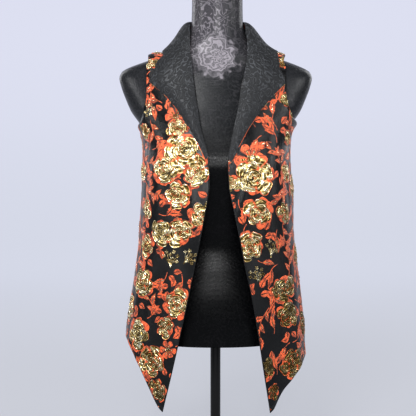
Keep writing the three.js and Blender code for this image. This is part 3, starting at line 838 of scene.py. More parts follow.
def give_wall(piece, thickness, edge_round=0.0):
    """A wall inwards from the sheet, with its own lining and edge materials."""
    wall = piece.modifiers.new("Wall", "SOLIDIFY")
    wall.thickness = thickness
    wall.offset = -1
    wall.material_offset = 1
    wall.material_offset_rim = 2
    wall.use_even_offset = False
    if edge_round:
        bevel = piece.modifiers.new("Soft edge", "BEVEL")
        bevel.width = edge_round
        bevel.segments = 2
        bevel.limit_method = "ANGLE"
        bevel.angle_limit = 50 * DEGREE
        bevel.harden_normals = False


# ---- shader groups ------------------------------------------------------------------------
def node_group(name, inputs, outputs):
    """An empty group; every one takes a vector, and the other inputs are numbers with defaults."""
    group = bpy.data.node_groups.new(name, "ShaderNodeTree")
    group.interface.new_socket(name="Vector", in_out="INPUT", socket_type="NodeSocketVector")
    for title, value in inputs.items():
        socket = group.interface.new_socket(name=title, in_out="INPUT", socket_type="NodeSocketFloat")
        socket.default_value = value
    for title in outputs:
        group.interface.new_socket(name=title, in_out="OUTPUT", socket_type="NodeSocketFloat")
    entry = group.nodes.new("NodeGroupInput")
    leave = group.nodes.new("NodeGroupOutput")
    return group, entry.outputs, leave.inputs


def link(tree, a, b):
    tree.links.new(a, b)


def math_node(tree, operation, a, b=None):
    """One step of mathematics on sockets or numbers."""
    node = tree.nodes.new("ShaderNodeMath")
    node.operation = operation
    for socket, value in zip(node.inputs, (a, b)):
        if isinstance(value, (int, float)):
            socket.default_value = value
        elif value is not None:
            link(tree, value, socket)
    return node.outputs[0]


def add(tree, a, b):
    return math_node(tree, "ADD", a, b)


def subtract(tree, a, b):
    return math_node(tree, "SUBTRACT", a, b)


def times(tree, a, b):
    return math_node(tree, "MULTIPLY", a, b)


def larger(tree, a, b):
    return math_node(tree, "MAXIMUM", a, b)


def sine(tree, phase):
    return math_node(tree, "SINE", phase)


def parts_of(tree, vector):
    """The x, y and z of a vector."""
    split = tree.nodes.new("ShaderNodeSeparateXYZ")
    link(tree, vector, split.inputs[0])
    return tuple(split.outputs)


def map_range(tree, value, low, high, to_low=0.0, to_high=1.0):
    """Eases a value from one range to another."""
    node = tree.nodes.new("ShaderNodeMapRange")
    node.interpolation_type = "SMOOTHSTEP"
    link(tree, value, node.inputs["Value"])
    node.inputs["From Min"].default_value = low
    node.inputs["From Max"].default_value = high
    node.inputs["To Min"].default_value = to_low
    node.inputs["To Max"].default_value = to_high
    return node.outputs["Result"]


def noise_value(tree, vector, scale, detail=2.0, roughness=0.5):
    """Cloudy noise between 0 and 1."""
    node = tree.nodes.new("ShaderNodeTexNoise")
    link(tree, vector, node.inputs["Vector"])
    node.inputs["Scale"].default_value = scale
    node.inputs["Detail"].default_value = detail
    node.inputs["Roughness"].default_value = roughness
    return node.outputs["Fac"]


def colour_mix(tree, factor, a, b):
    """From colour a to colour b; each may be a socket or a tuple."""
    node = tree.nodes.new("ShaderNodeMix")
    node.data_type = "RGBA"
    factor_socket, a_socket, b_socket = node.inputs[0], node.inputs[6], node.inputs[7]
    for socket, value in ((factor_socket, factor), (a_socket, a), (b_socket, b)):
        if isinstance(value, (int, float)):
            socket.default_value = value
        elif isinstance(value, tuple):
            socket.default_value = (*value[:3], 1.0)
        else:
            link(tree, value, socket)
    return node.outputs[2]


def threads_group():
    """Fine woven threads: a height, and a value that varies from thread to thread."""
    group, entry, leave = node_group("Woven threads", {"Pitch": 1400.0}, ("Height", "Tone"))
    x, y, _ = parts_of(group, entry["Vector"])
    warp = times(group, x, entry["Pitch"])
    weft = times(group, y, entry["Pitch"])
    twill = sine(group, add(group, warp, weft))
    cross = sine(group, subtract(group, warp, times(group, weft, 0.35)))
    high = times(group, add(group, twill, times(group, cross, 0.5)), 0.33)
    link(group, add(group, high, 0.5), leave["Height"])
    link(group, noise_value(group, entry["Vector"], 260.0, 3.0, 0.6), leave["Tone"])
    return group


def scroll_group():
    """Scrolling vermicular figures: curled lines with leaf-like solids between them."""
    sizes = {"Size": 60.0, "Curl": 0.012, "Rings": 14.0}
    group, entry, leave = node_group("Scroll figure", sizes, ("Line", "Body"))
    bend = group.nodes.new("ShaderNodeTexNoise")
    link(group, entry["Vector"], bend.inputs["Vector"])
    link(group, entry["Size"], bend.inputs["Scale"])
    bend.inputs["Detail"].default_value = 1.0
    centred = group.nodes.new("ShaderNodeVectorMath")
    centred.operation = "SUBTRACT"
    link(group, bend.outputs["Color"], centred.inputs[0])
    centred.inputs[1].default_value = (0.5, 0.5, 0.5)
    scaled = group.nodes.new("ShaderNodeVectorMath")
    scaled.operation = "SCALE"
    link(group, centred.outputs[0], scaled.inputs[0])
    link(group, entry["Curl"], scaled.inputs["Scale"])
    warped = group.nodes.new("ShaderNodeVectorMath")
    warped.operation = "ADD"
    link(group, entry["Vector"], warped.inputs[0])
    link(group, scaled.outputs[0], warped.inputs[1])
    curls = group.nodes.new("ShaderNodeTexVoronoi")
    curls.feature = "F1"
    link(group, warped.outputs[0], curls.inputs["Vector"])
    link(group, times(group, entry["Size"], 1.5), curls.inputs["Scale"])
    curls.inputs["Randomness"].default_value = 0.85
    body = noise_value(group, warped.outputs[0], 55.0, 2.0, 0.55)
    turns = times(group, curls.outputs["Distance"], entry["Rings"])
    rings = sine(group, add(group, turns, times(group, body, 26.0)))
    link(group, map_range(group, rings, 0.3, 0.9), leave["Line"])
    contour = sine(group, times(group, body, 34.0))
    link(group, map_range(group, contour, 0.1, 0.8), leave["Body"])
    return group


def medallion_group():
    """A round lace medallion: scalloped rings about one point, with a frayed edge."""
    sizes = {"Height": 0.8, "Reach": 0.05}
    group, entry, leave = node_group("Lace medallion", sizes, ("Line", "Near"))
    x, _, z = parts_of(group, entry["Vector"])
    up = subtract(group, z, entry["Height"])
    away = math_node(group, "SQRT", add(group, times(group, x, x), times(group, up, up)))
    angle = math_node(group, "ARCTAN2", x, up)
    scallop = times(group, sine(group, times(group, angle, 9.0)), 1.5)
    rough = noise_value(group, entry["Vector"], 70.0, 1.0)
    phase = add(group, times(group, away, 700.0), scallop)
    rings = sine(group, add(group, phase, times(group, rough, 24.0)))
    share = math_node(group, "DIVIDE", away, entry["Reach"])
    near = map_range(group, add(group, share, times(group, rough, 0.9)), 1.0, 1.35, 1.0, 0.0)
    link(group, near, leave["Near"])
    link(group, times(group, map_range(group, rings, -0.1, 0.6), near), leave["Line"])
    return group


def crinkle_group():
    """Crushed metallic thread, in puckers that lie across the petals."""
    group, entry, leave = node_group("Crushed thread", {}, ("Height", "Shade"))
    stretch = group.nodes.new("ShaderNodeMapping")
    stretch.inputs["Scale"].default_value = (1.0, 1.0, 1.7)
    link(group, entry["Vector"], stretch.inputs["Vector"])
    cells = group.nodes.new("ShaderNodeTexVoronoi")
    cells.feature = "SMOOTH_F1"
    link(group, stretch.outputs[0], cells.inputs["Vector"])
    cells.inputs["Scale"].default_value = 105.0
    cells.inputs["Smoothness"].default_value = 0.35
    broad = noise_value(group, stretch.outputs[0], 70.0)
    both = add(group, times(group, cells.outputs["Distance"], 0.7), broad)
    link(group, both, leave["Height"])
    link(group, map_range(group, both, 0.62, 1.12), leave["Shade"])
    return group


GROUPS = {}


def place_group(tree, name, vector, **values):
    """Puts one of the shader groups into a tree and gives its outputs."""
    node = tree.nodes.new("ShaderNodeGroup")
    node.node_tree = GROUPS[name]
    link(tree, vector, node.inputs["Vector"])
    for title, value in values.items():
        node.inputs[title].default_value = value
    return node.outputs


# ---- materials ----------------------------------------------------------------------------
BLACK_LINE = (0.035, 0.012, 0.008)
BLACK_OUTLINE = (0.016, 0.012, 0.006)
# Painted sheen: lighter greys that lift the form cover's chest and shoulders.
CHEST_PAINTED_SHEEN = (0.012, 0.013, 0.0145)
SHOULDER_PAINTED_SHEEN = (0.017, 0.018, 0.020)
COVER_NECK = (0.050, 0.048, 0.054)
COVER_MEDALLION = (0.10, 0.095, 0.104)
JACQUARD_SHADE = (0.008, 0.0085, 0.0095)
LINING_DARK, LINING_LIGHT = (0.006, 0.006, 0.007), (0.016, 0.016, 0.018)
EDGE_DARK, EDGE_LIGHT = (0.008, 0.008, 0.009), (0.024, 0.023, 0.024)
FLOOR_NEAR, FLOOR_FAR = (0.43, 0.445, 0.485), (0.585, 0.607, 0.685)
WALL_TOP = (0.635, 0.65, 0.752)
MEDALLION_HEIGHT = 0.806
MEDALLION_REACH = 0.052


def tinted(colour, red, green, blue):
    """A colour with each channel taken times a share, and none above 1."""
    return tuple(min(1, channel * share) for channel, share in zip(colour, (red, green, blue)))


def start_material(name):
    material = bpy.data.materials.new(name)
    material.use_nodes = True
    tree = material.node_tree
    shader = tree.nodes["Principled BSDF"]
    return material, tree, shader


def add_bump(tree, shader, height, distance, strength=1.0):
    bump = tree.nodes.new("ShaderNodeBump")
    bump.inputs["Strength"].default_value = strength
    bump.inputs["Distance"].default_value = distance
    link(tree, height, bump.inputs["Height"])
    link(tree, bump.outputs["Normal"], shader.inputs["Normal"])


def object_coordinates(tree):
    return tree.nodes.new("ShaderNodeTexCoord").outputs["Object"]


def uv_map(tree, name):
    node = tree.nodes.new("ShaderNodeUVMap")
    node.uv_map = name
    return node.outputs["UV"]


def satin_material(settings):
    """The brocade's black satin ground, puckered, with a gloss along its threads."""
    material, tree, shader = start_material("Satin ground")
    at = uv_map(tree, "cloth")
    threads = place_group(tree, "threads", at, Pitch=5200.0)
    broad = times(tree, noise_value(tree, at, 26.0), 0.5)
    ground = tuple(settings.ground)
    tone = map_range(tree, add(tree, threads["Tone"], broad), 0.5, 1.0)
    link(tree, colour_mix(tree, tone, ground, tinted(ground, 2.4, 2.4, 2.4)), shader.inputs["Base Color"])
    link(tree, map_range(tree, tone, 0.0, 1.0, 0.28, 0.38), shader.inputs["Roughness"])
    shader.inputs["Specular IOR Level"].default_value = 0.38
    shader.inputs["Anisotropic"].default_value = 0.75
    shader.inputs["Anisotropic Rotation"].default_value = 0.25
    weft = tree.nodes.new("ShaderNodeTangent")
    weft.direction_type = "UV_MAP"
    weft.uv_map = "cloth"
    link(tree, weft.outputs["Tangent"], shader.inputs["Tangent"])
    puckers = noise_value(tree, at, 190.0, 3.0, 0.6)
    add_bump(tree, shader, add(tree, times(tree, threads["Height"], 0.12), puckers), 0.5 * MM, 0.75)
    return material


def petal_map(tree):
    """The way along each small sheet of thread, and how near its side edges are."""
    across, along, _ = parts_of(tree, uv_map(tree, "thread"))
    return along, math_node(tree, "ABSOLUTE", subtract(tree, times(tree, across, 2.0), 1.0))


def coral_material(settings):
    """Dull coral yarn with painted shade in its hollows, dark veins and a dark outline."""
    material, tree, shader = start_material("Coral thread")
    at = object_coordinates(tree)
    threads = place_group(tree, "threads", at, Pitch=4200.0)
    shade = noise_value(tree, at, 120.0, 4.0, 0.65)
    coral = tuple(settings.coral)
    # Painted shade: the yarn is darker where the bump noise is low, in its hollows.
    first = colour_mix(tree, map_range(tree, shade, 0.38, 0.57), tinted(coral, 0.3, 0.28, 0.4), coral)
    bright = map_range(tree, threads["Tone"], 0.5, 0.75)
    yarn = colour_mix(tree, bright, first, tinted(coral, 1.12, 1.45, 1.5))
    along, side = petal_map(tree)
    run = add(tree, times(tree, along, 30.0), times(tree, side, 6.0))
    veins = map_range(tree, sine(tree, run), 0.45, 0.95)
    rim = map_range(tree, side, 0.66, 0.97)
    dark = larger(tree, times(tree, veins, 0.72), times(tree, rim, 0.88))
    link(tree, colour_mix(tree, dark, yarn, BLACK_LINE), shader.inputs["Base Color"])
    link(tree, map_range(tree, shade, 0.3, 0.7, 0.7, 0.5), shader.inputs["Roughness"])
    shader.inputs["Sheen Weight"].default_value = 0.2
    shader.inputs["Specular IOR Level"].default_value = 0.4
    add_bump(tree, shader, add(tree, times(tree, threads["Height"], 0.25), shade), 0.55 * MM, 0.8)
    return material


def gold_material(settings):
    """Crushed metallic thread: painted highlights pale where it catches the light, painted shade olive in
    its folds and low down.
    """
    material, tree, shader = start_material("Gold thread")
    at = object_coordinates(tree)
    crinkle = place_group(tree, "crinkle", at)
    threads = place_group(tree, "threads", at, Pitch=4200.0)
    gold = tuple(settings.gold)
    olive = tinted(gold, 0.16, 0.14, 0.09)
    along, side = petal_map(tree)
    wave = add(tree, times(tree, along, 15.0), times(tree, noise_value(tree, at, 75.0, 1.0), 12.0))
    ridge = add(tree, times(tree, sine(tree, wave), 0.5), 0.5)
    # Painted shade and highlight: olive in the hollows of the crinkles and ridges, pale on their crests.
    shade = add(tree, times(tree, crinkle["Shade"], 0.55), times(tree, ridge, 0.45))
    first = colour_mix(tree, map_range(tree, shade, 0.12, 0.5), olive, gold)
    painted_glint_gold = colour_mix(tree, map_range(tree, shade, 0.5, 0.82), first, tinted(gold, 1.7, 2.1, 3.6))
    rim = map_range(tree, side, 0.70, 0.93)
    root = map_range(tree, along, 0.22, 0.04)
    lip = map_range(tree, along, 0.90, 0.99)
    dark = larger(tree, larger(tree, rim, root), lip)
    tint = map_range(tree, noise_value(tree, at, 24.0, 0.0), 0.40, 0.44)
    outline = colour_mix(tree, tint, BLACK_OUTLINE, tuple(settings.coral))
    # Painted shade: the gold is turned towards olive low down and towards +x.
    x, _, z = parts_of(tree, at)
    painted_shade_amount = map_range(tree, subtract(tree, z, x), 0.06, 0.64, 0.85, 0.0)
    uneven_and_painted_shade = colour_mix(tree, painted_shade_amount, painted_glint_gold, olive)
    link(tree, colour_mix(tree, times(tree, dark, 0.96), uneven_and_painted_shade, outline), shader.inputs["Base Color"])
    link(tree, map_range(tree, dark, 0.2, 0.9, 0.95, 0.1), shader.inputs["Metallic"])
    link(tree, map_range(tree, shade, 0.0, 1.0, 0.42, 0.24), shader.inputs["Roughness"])
    woven = add(tree, times(tree, threads["Height"], 0.05), crinkle["Height"])
    add_bump(tree, shader, add(tree, woven, times(tree, ridge, 0.7)), 2.6 * MM)
    return material


def lining_material():
    """Plain black lining, faintly glossy."""
    material, tree, shader = start_material("Black lining")
    at = object_coordinates(tree)
    tone = place_group(tree, "threads", at, Pitch=5200.0)["Tone"]
    link(tree, colour_mix(tree, tone, LINING_DARK, LINING_LIGHT), shader.inputs["Base Color"])
    soft = noise_value(tree, at, 60.0)
    link(tree, map_range(tree, soft, 0.3, 0.7, 0.38, 0.5), shader.inputs["Roughness"])
    add_bump(tree, shader, soft, 0.6 * MM, 0.4)
    return material


def edge_material():
    """The turned black edge of a panel."""
    material, tree, shader = start_material("Turned edge")
    threads = place_group(tree, "threads", object_coordinates(tree), Pitch=5200.0)
    tone = threads["Tone"]
    link(tree, colour_mix(tree, tone, EDGE_DARK, EDGE_LIGHT), shader.inputs["Base Color"])
    link(tree, map_range(tree, tone, 0.3, 0.7, 0.42, 0.56), shader.inputs["Roughness"])
    add_bump(tree, shader, threads["Height"], 0.2 * MM, 0.5)
    return material


def jacquard_material(settings):
    """The collar's dark grey jacquard with its close scrolls, painted paler towards the neck and darker low
    down as light from above.
    """
    material, tree, shader = start_material("Collar jacquard")
    at = uv_map(tree, "cloth")
    scroll = place_group(tree, "scroll", at, Size=50.0, Curl=0.018, Rings=16.0)
    threads = place_group(tree, "threads", at, Pitch=5600.0)
    figure = scroll["Line"]
    uneven_and_painted_shade = times(tree, figure, map_range(tree, noise_value(tree, at, 30.0), 0.25, 0.7, 0.55, 1.0))
    _, _, z = parts_of(tree, object_coordinates(tree))
    # Painted light and shade: the scrolls are painted paler high up and darker low down.
    uneven_and_painted_shade = times(tree, uneven_and_painted_shade, map_range(tree, z, 0.68, 0.84, 0.6, 1.3))
    flat = colour_mix(tree, uneven_and_painted_shade, tuple(settings.jacquard), tuple(settings.jacquard_figure))
    flat = colour_mix(tree, times(tree, scroll["Body"], 0.6), flat, JACQUARD_SHADE)
    pick = map_range(tree, threads["Tone"], 0.3, 0.8, 0.75, 1.25)
    picked = colour_mix(tree, pick, (0.0, 0.0, 0.0), flat)
    link(tree, colour_mix(tree, 0.35, flat, picked), shader.inputs["Base Color"])
    link(tree, map_range(tree, figure, 0.0, 1.0, 0.62, 0.42), shader.inputs["Roughness"])
    shader.inputs["Specular IOR Level"].default_value = 0.25
    add_bump(tree, shader, add(tree, times(tree, threads["Height"], 0.15), figure), 0.35 * MM, 0.8)
    return material


def under_collar_material(settings):
    """Brocade seen only as a narrow edge: coral, gold and black patches."""
    material, tree, shader = start_material("Brocade edge")
    at = object_coordinates(tree)
    patches = noise_value(tree, at, 62.0, 1.0)
    coral = map_range(tree, patches, 0.47, 0.53)
    gold = map_range(tree, noise_value(tree, at, 85.0, 1.0), 0.6, 0.64)
    first = colour_mix(tree, coral, tuple(settings.ground), tuple(settings.coral))
    patched = colour_mix(tree, gold, first, tinted(settings.gold, 0.7, 0.7, 0.7))
    link(tree, patched, shader.inputs["Base Color"])
    link(tree, map_range(tree, patches, 0.3, 0.7, 0.45, 0.6), shader.inputs["Roughness"])
    threads = place_group(tree, "threads", at, Pitch=4200.0)
    add_bump(tree, shader, threads["Height"], 0.3 * MM, 0.6)
    return material


def cover_material(settings):
    """The form's black knit; its pale scroll print is strongest on the neck, and painted sheen greys its
    chest and shoulders.
    """
    material, tree, shader = start_material("Form cover")
    at = object_coordinates(tree)
    scroll = place_group(tree, "scroll", at, Size=48.0, Curl=0.02, Rings=15.0)
    medallion = place_group(tree, "medallion", at, Height=MEDALLION_HEIGHT, Reach=MEDALLION_REACH)
    knit = place_group(tree, "threads", at, Pitch=3200.0)
    x, _, z = parts_of(tree, at)
    middle = map_range(tree, math_node(tree, "ABSOLUTE", x), 0.05, 0.085, 1.0, 0.0)
    chest = map_range(tree, z, 0.595, 0.70)
    shoulder = times(tree, map_range(tree, middle, 0.0, 1.0, 1.0, 0.0), chest)
    shaded_side = map_range(tree, x, 0.008, 0.032, 1.0, 0.3)
    neck = times(tree, times(tree, middle, map_range(tree, z, 0.745, 0.82)), shaded_side)
    neck = larger(tree, neck, times(tree, medallion["Near"], 0.75))
    faint = map_range(tree, chest, 0.0, 1.0, 0.008, 0.04)
    uneven = map_range(tree, noise_value(tree, at, 16.0), 0.3, 0.65, 0.5, 1.0)
    strength = times(tree, uneven, larger(tree, faint, times(tree, neck, 0.36)))
    figure = larger(tree, scroll["Line"], medallion["Line"])
    shown = larger(tree, times(tree, figure, strength), times(tree, medallion["Line"], 0.42))
    # Painted sheen: the chest and the shoulders are painted a lighter grey than the black cover.
    ground = colour_mix(tree, chest, tuple(settings.cover), CHEST_PAINTED_SHEEN)
    ground = colour_mix(tree, shoulder, ground, SHOULDER_PAINTED_SHEEN)
    ground = colour_mix(tree, neck, ground, COVER_NECK)
    ground = colour_mix(tree, medallion["Near"], ground, COVER_MEDALLION)
    link(tree, colour_mix(tree, shown, ground, tuple(settings.print_colour)), shader.inputs["Base Color"])
    link(tree, map_range(tree, knit["Tone"], 0.3, 0.7, 0.25, 0.31), shader.inputs["Roughness"])
    shader.inputs["Specular IOR Level"].default_value = 0.13
    add_bump(tree, shader, add(tree, times(tree, figure, 0.3), knit["Height"]), 0.12 * MM, 0.5)
    return material


def paint_material(settings):
    """Semi-gloss black paint with faint orange peel and rubbed patches."""
    material, tree, shader = start_material("Stand paint")
    at = object_coordinates(tree)
    wear = noise_value(tree, at, 36.0, 4.0, 0.7)
    paint = tuple(settings.paint)
    rubbed = map_range(tree, wear, 0.5, 0.75)
    link(tree, colour_mix(tree, rubbed, paint, tinted(paint, 1.5, 1.5, 1.5)), shader.inputs["Base Color"])
    link(tree, map_range(tree, wear, 0.35, 0.7, 0.3, 0.36), shader.inputs["Roughness"])
    shader.inputs["Specular IOR Level"].default_value = 0.35
    add_bump(tree, shader, noise_value(tree, at, 420.0), 0.08 * MM, 0.3)
    return material


def backdrop_material():
    """A pale wall and floor that glow by themselves as painted light, a little darker towards the front and
    paler up the wall.
    """
    material, tree, shader = start_material("Backdrop")
    _, y, z = parts_of(tree, object_coordinates(tree))
    away = add(tree, z, times(tree, y, 0.3))
    floor = colour_mix(tree, map_range(tree, away, 0.0, 0.8), FLOOR_NEAR, FLOOR_FAR)
    glow = colour_mix(tree, map_range(tree, away, 0.8, 2.5), floor, WALL_TOP)
    shader.inputs["Base Color"].default_value = (0.12, 0.12, 0.13, 1)
    # Painted light: the glow stands in for the lighting of the floor and wall.
    link(tree, glow, shader.inputs["Emission Color"])
    shader.inputs["Emission Strength"].default_value = 1.0
    shader.inputs["Roughness"].default_value = 0.95
    shader.inputs["Specular IOR Level"].default_value = 0.1
    return material


MATERIALS = {}


def make_materials():
    """The shader groups, and the materials from the settings."""
    scene = bpy.context.scene
    vest, stand = scene.vest_settings, scene.stand_settings
    GROUPS["threads"] = threads_group()
    GROUPS["scroll"] = scroll_group()
    GROUPS["crinkle"] = crinkle_group()
    GROUPS["medallion"] = medallion_group()
    MATERIALS["satin"] = satin_material(vest)
    MATERIALS["coral"] = coral_material(vest)
    MATERIALS["gold"] = gold_material(vest)
    MATERIALS["lining"] = lining_material()
    MATERIALS["edge"] = edge_material()
    MATERIALS["jacquard"] = jacquard_material(vest)
    MATERIALS["under collar"] = under_collar_material(vest)
    MATERIALS["cover"] = cover_material(stand)
    MATERIALS["paint"] = paint_material(stand)


# ---- motifs of the brocade, drawn flat in millimetres -------------------------------------
CORAL, GOLD = 0, 1


def motif_grid(bm, columns, rows, place, material, bright=False):
    """One small sheet of thread: place(a from -1 to 1, b from 0 to 1) gives x, y and height.

    A bright one is mapped inside the dark rims that the threads have.
    """
    layers = bm.loops.layers.uv
    layer = layers.get("thread") or layers.new("thread")
    made = bmesh.ops.create_grid(bm, x_segments=columns, y_segments=rows, size=0.5)["verts"]
    for v in made:
        share = (v.co.x + 0.5, v.co.y + 0.5)
        for loop in v.link_loops:
            loop[layer].uv = (0.32 + 0.36 * share[0], 0.35 + 0.4 * share[1]) if bright else share
        v.co = Vector(place(2 * share[0] - 1, share[1]))
    for v in made:
        for face in v.link_faces:
            face.material_index = material


def finish_motif(bm, name):
    """A motif with its face up, as a mesh."""
    for face in bm.faces:
        if face.normal.z < 0:
            face.normal_flip()
    return mesh_of(bm, name)


def petal(bm, turn, inner, outer, spread, puff, base, material, seed, fine, overlap=0.0, bright=False):
    """A rounded petal between two radii, with a waved lip and a crushed, puffed middle."""

    def place(a, b):
        lip = outer * (1 - 0.13 * a**4 - 0.05 * a * a + 0.035 * math.cos(4.1 * a + seed))
        curl = 1 + 0.05 * math.sin(2.3 * a + seed * 1.7)
        radius = mix(inner * curl, lip, b)
        width = spread * (0.80 + 0.20 * math.sin(math.pi * (0.1 + 0.62 * b)))
        angle = (turn + a * width + 4 * b * math.sin(seed)) * DEGREE
        x, y = radius * math.sin(angle), radius * math.cos(angle)
        dome = max(0.0, 1 - a**4) ** 0.5 * max(0.0, math.sin(math.pi * clamp01(0.03 + 0.94 * b))) ** 0.5
        rough = noise.noise(Vector((x * 0.26, y * 0.26, seed)))
        cup = 0.55 + 0.45 * smooth(b * 1.6)
        ridge = noise.noise(Vector((a * 2.1 + seed, b * 1.1, 3.7)))
        high = base + overlap * (0.5 + 0.5 * a) + puff * dome * cup * (0.7 + 0.7 * rough + 0.9 * abs(ridge))
        return x, y, high

    motif_grid(bm, *fine, place, material, bright)


ROSE_RINGS = [
    # petals, inner radius, outer radius, half spread, relief share, chance of coral
    (6, 0.52, 1.0, 33, 0.7, 0.3),
    (5, 0.30, 0.73, 41, 0.9, 0.0),
    (4, 0.13, 0.50, 52, 1.0, 0.0),
    (3, 0.02, 0.28, 66, 1.0, 0.0),
]


def rose_mesh(name, radius, relief, seed, squash, lean, fine):
    """A full-blown rose: lapped rings of crushed gold petals with a few coral ones outside."""
    rng = random.Random(seed)
    bm = bmesh.new()
    for k, (count, inner, outer, spread, share, coral) in enumerate(ROSE_RINGS):
        start = rng.uniform(0, 360)
        for i in range(count):
            turn = start + 360 * i / count + rng.uniform(-12, 12)
            reach = radius * outer * (rng.uniform(0.76, 1.16) if k == 0 else rng.uniform(0.84, 1.08))
            wide = spread * rng.uniform(0.92, 1.08)
            foot = radius * inner * rng.uniform(0.94, 1.06)
            base = 0.15 + 0.26 * k
            shade = seed * 7 + k * 3 + i
            thread = CORAL if rng.random() < coral else GOLD
            if k == 0 and thread == GOLD and rng.random() < 0.5:
                petal(bm, turn + 12, foot * 1.1, reach * 1.12, wide * 0.7, 0.25, 0.05, CORAL, shade, (6, 4))
            petal(bm, turn, foot, reach, wide, relief * share, base, thread, shade, fine, 0.4)
    for v in bm.verts:
        far = clamp01(v.co.xy.length / radius)
        v.co.x += lean * radius * (1 - far)
        v.co.y = v.co.y * squash + 0.5 * lean * radius * (1 - far)
    return finish_motif(bm, name)


def leaf_half(bm, length, width, bend, side, base, material, notch):
    """Half a leaf beside its midrib, with small slits where the side veins run."""

    def place(a, b):
        c = (a + 1) / 2
        taper = math.sin(math.pi * b**0.78) ** 1.15
        vein = 1 - notch * (0.5 + 0.5 * math.cos(2 * math.pi * (b * 5 + 0.35 * c))) * c
        off = side * (0.5 * (1 - b) + 0.15 + c * width * taper * vein)
        curve = bend * length * (b * b - b)
        x = off + curve
        y = b * length
        high = base + 0.55 * math.sin(math.pi * clamp01(0.12 + 0.76 * c)) * taper
        return x, y, high

    motif_grid(bm, 3, 18, place, material)


def strip(bm, points, width, base, material, taper=0.6):
    """A thin stem that curves smoothly through given points."""

    def along(b):
        place = b * (len(points) - 1)
        i = min(int(place), len(points) - 2)
        t = place - i
        p0 = Vector(points[max(i - 1, 0)])
        p1, p2 = Vector(points[i]), Vector(points[i + 1])
        p3 = Vector(points[min(i + 2, len(points) - 1)])
        square = 2 * p0 - 5 * p1 + 4 * p2 - p3
        cube = 3 * p1 - p0 - 3 * p2 + p3
        return 0.5 * (2 * p1 + (p2 - p0) * t + square * t * t + cube * t**3)

    def place(a, b):
        here = along(b)
        ahead = along(min(1, b + 0.02)) - along(max(0, b - 0.02))
        beside = Vector((-ahead.y, ahead.x)).normalized()
        at = here + beside * a * 0.5 * width * mix(1, taper, b)
        return at.x, at.y, base + 0.3 * (1 - a * a)

    motif_grid(bm, 2, 6 * (len(points) - 1), place, material, material == GOLD)


def moved(bm, first, x, y, turn):
    """Moves what was added after the first vertices."""
    bm.verts.ensure_lookup_table()
    place = Matrix.Translation((x, y, 0)) @ Matrix.Rotation(-turn * DEGREE, 4, "Z")
    bmesh.ops.transform(bm, matrix=place, verts=bm.verts[first:])


def add_leaf(bm, x, y, turn, length, width, bend, base=0.15, gilt=False, notch=0.3):
    """A leaf in two halves, with a gold midrib where it is gilt."""
    first = len(bm.verts)
    for side in (-1, 1):
        leaf_half(bm, length, width, bend, side, base, CORAL, notch)
    if gilt:
        points = [(bend * length * (b * b - b), b * length) for b in (0.04, 0.35, 0.65, 0.94)]
        strip(bm, points, 0.9, base + 0.1, GOLD)
    moved(bm, first, x, y, turn)


SPRIG_LEAVES = [
    # share along the stem, side, turn from the stem, length, half width
    (0.14, -1, 50, 24, 5.6),
    (0.34, 1, 46, 27, 6.2),
    (0.56, -1, 42, 27, 6.0),
    (0.76, 1, 38, 24, 5.6),
    (1.0, 1, 4, 28, 6.2),
]
GILT_CHANCE = 0.5


def sprig_mesh(name, length, bend, leaves, seed):
    """A curved stem with alternate leaves."""
    rng = random.Random(seed)
    bm = bmesh.new()

    def stem(share):
        return Vector((bend * length * math.sin(math.pi * share * 0.9), length * (share - 0.5)))

    strip(bm, [tuple(stem(k / 4)) for k in range(5)], 1.9, 0.1, CORAL)
    for share, side, turn, long, wide in leaves:
        at = stem(share)
        lean = math.atan2(*(stem(min(1, share + 0.02)) - stem(share - 0.02))) / DEGREE
        grow = rng.uniform(0.85, 1.12)
        curve = side * rng.uniform(0.1, 0.4)
        gilt = rng.random() < GILT_CHANCE
        add_leaf(bm, at.x, at.y, lean + side * turn, long * grow, wide * grow, curve, gilt=gilt)
    return finish_motif(bm, name)


def spray_mesh(name, seed):
    """A branching spray of little gold blossoms with four petals."""
    rng = random.Random(seed)
    bm = bmesh.new()
    tips = [(-13, 7), (-8, 15), (0, 10), (7, 16), (14, 8), (5, 2), (-4, 0), (12, -2)]
    for x, y in tips:
        bend = (x * 0.25, y * 0.1 - 6)
        strip(bm, [(0, -15), bend, (x, y)], 1.1, 0.1, GOLD)
    for x, y in tips:
        start = rng.uniform(0, 90)
        first = len(bm.verts)
        for i in range(4):
            petal(bm, start + 90 * i, 0.5, 3.9, 36, 0.7, 0.25, GOLD, seed + i, (4, 3), bright=True)
        moved(bm, first, x, y, 0)
    return finish_motif(bm, name)


def blossom_mesh(name, radius, relief, seed):
    """An open coral flower with a gold heart and gold veins."""
    rng = random.Random(seed)
    bm = bmesh.new()
    start = rng.uniform(0, 360)
    for i in range(6):
        turn = start + 60 * i + rng.uniform(-7, 7)
        reach = radius * rng.uniform(0.88, 1.08)
        petal(bm, turn, radius * 0.24, reach, 27, 0.55, 0.15, CORAL, seed + i, (6, 6))
        petal(bm, turn, radius * 0.30, reach * 0.62, 9, relief * 0.7, 0.3, GOLD, seed + i, (4, 5))
    for i in range(5):
        petal(bm, start + 72 * i, radius * 0.03, radius * 0.3, 34, relief, 0.4, GOLD, seed + 20 + i, (5, 4))
    return finish_motif(bm, name)


def petals_mesh(name, seed):
    """Three loose coral petals, as fall beside the roses."""
    rng = random.Random(seed)
    bm = bmesh.new()
    for x, y, turn in ((-7, -3, -40), (5, -6, 15), (2, 7, 70)):
        add_leaf(bm, x, y, turn + rng.uniform(-10, 10), 18, 6.2, 0.3, notch=0.1)
    return finish_motif(bm, name)


MOTIFS = {}
ROSE_RADIUS = 30.0
BLOOM_RADIUS = 22.0
ROSE_FINE = (14, 9)
BACK_ROSE_FINE = (8, 5)
ROSE_SHAPES = ((1.0, 0.05), (0.86, -0.12), (0.94, 0.14))  # squash, lean of the heart


